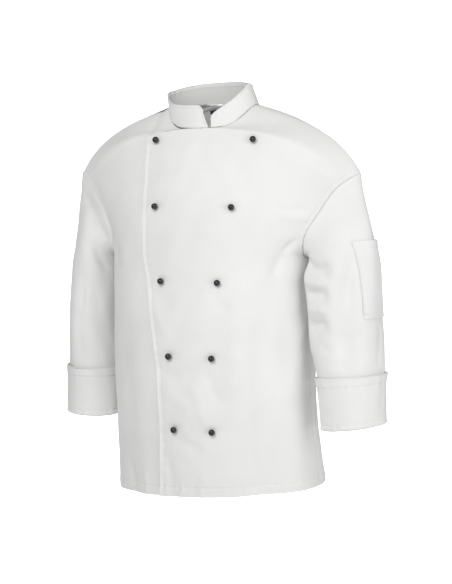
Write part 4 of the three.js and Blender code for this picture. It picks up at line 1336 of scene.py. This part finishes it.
def dress_buttons():
    holes = []
    for side, sign in (("left", 1), ("right", -1)):
        for i, (out, z) in enumerate(zip(BUTTONS[side], BUTTONS["z"])):
            at, facing, sideways = place_on_front(sign * out, z)
            name = f"button_{side}_{i + 1}"
            dress(ball_button(name + "_ball", at, facing, sideways), PLASTIC, "button", name)
            holes.append(buttonhole(at, facing, sideways))
    faces = thread_faces(len(holes), HOLE_RINGS, HOLE_SIDES)
    dress(make_mesh("buttonholes", np.concatenate(holes), faces), THREAD, "cloth")


def look_at(item, target):
    way = np.array(target) - np.array(item.location)
    item.rotation_euler = (
        np.arctan2(np.hypot(way[0], way[1]), -way[2]),
        0,
        np.arctan2(way[1], way[0]) - np.pi / 2,
    )


def from_target(azimuth, elevation, distance):
    """A place seen from the camera's target, at an azimuth from the front towards +X."""
    a, e = np.radians(azimuth), np.radians(elevation)
    way = np.array([np.sin(a) * np.cos(e), -np.cos(a) * np.cos(e), np.sin(e)])
    return np.array(CAMERA_TARGET) + distance * way


def area_light(name, azimuth, elevation, distance, size, power, aim=CAMERA_TARGET):
    data = bpy.data.lights.new(name, "AREA")
    data.shape = "SQUARE"
    data.size = size
    data.energy = power
    light = bpy.data.objects.new(name, data)
    bpy.context.scene.collection.objects.link(light)
    light.location = from_target(azimuth, elevation, distance)
    look_at(light, aim)


def camera():
    data = bpy.data.cameras.new("camera")
    data.lens = CAMERA_LENS
    data.sensor_width = 36
    view = bpy.data.objects.new("camera", data)
    bpy.context.scene.collection.objects.link(view)
    view.location = from_target(CAMERA_AZIMUTH, CAMERA_ELEVATION, CAMERA_DISTANCE)
    look_at(view, CAMERA_TARGET)
    bpy.context.scene.camera = view


FLOOR_HEIGHT = -1.35
SWEEP_RADIUS = 1.2
SWEEP_BACK = 5.0
SWEEP_FRONT = -4.0
SWEEP_TOP = 3.0
SWEEP_HALF_WIDTH = 5.0


def studio():
    """A pale floor that curves up behind, square to the camera."""
    turn = np.linspace(0, np.pi / 2, 24)
    away = [SWEEP_FRONT, *(SWEEP_BACK + SWEEP_RADIUS * np.sin(turn)), SWEEP_BACK + SWEEP_RADIUS]
    up = [FLOOR_HEIGHT, *(FLOOR_HEIGHT + SWEEP_RADIUS * (1 - np.cos(turn))), SWEEP_TOP]
    a = np.radians(CAMERA_AZIMUTH)
    right, back = np.array([np.cos(a), np.sin(a), 0]), np.array([-np.sin(a), np.cos(a), 0])
    line = np.outer(away, back) + np.outer(up, (0, 0, 1))
    vertices = np.stack([line - SWEEP_HALF_WIDTH * right, line + SWEEP_HALF_WIDTH * right], axis=1)
    mesh = bpy.data.meshes.new("floor")
    index = np.arange(2 * len(line)).reshape(-1, 2)
    faces = np.stack([index[:-1, 0], index[:-1, 1], index[1:, 1], index[1:, 0]], axis=1)
    mesh.from_pydata(vertices.reshape(-1, 3).tolist(), [], faces.tolist())
    mesh.polygons.foreach_set("use_smooth", np.ones(len(faces), bool))
    mesh.materials.append(floor_material("pale_floor"))
    floor = bpy.data.objects.new("floor", mesh)
    bpy.context.scene.collection.objects.link(floor)
    floor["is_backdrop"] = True
    area_light("key", 4, 30, 2.6, 1.3, 34)
    area_light("fill", 70, 6, 3.0, 2.0, 26)
    area_light("backdrop", 202, 34, 3.2, 3.0, 260, aim=from_target(202, -6, 5.4))
    world = bpy.data.worlds.new("studio")
    world.use_nodes = True
    background = world.node_tree.nodes["Background"]
    background.inputs["Color"].default_value = (1, 1, 1, 1)
    background.inputs["Strength"].default_value = 0.34
    bpy.context.scene.world = world
    bpy.context.scene.view_settings.view_transform = "Standard"


dress_cloth()
dress_buttons()
studio()
camera()


def plain(bounds):
    return [[float(value) for value in corner] for corner in bounds]


{"cad": plain(CAD_BOUNDS), "dressed": plain(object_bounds())}
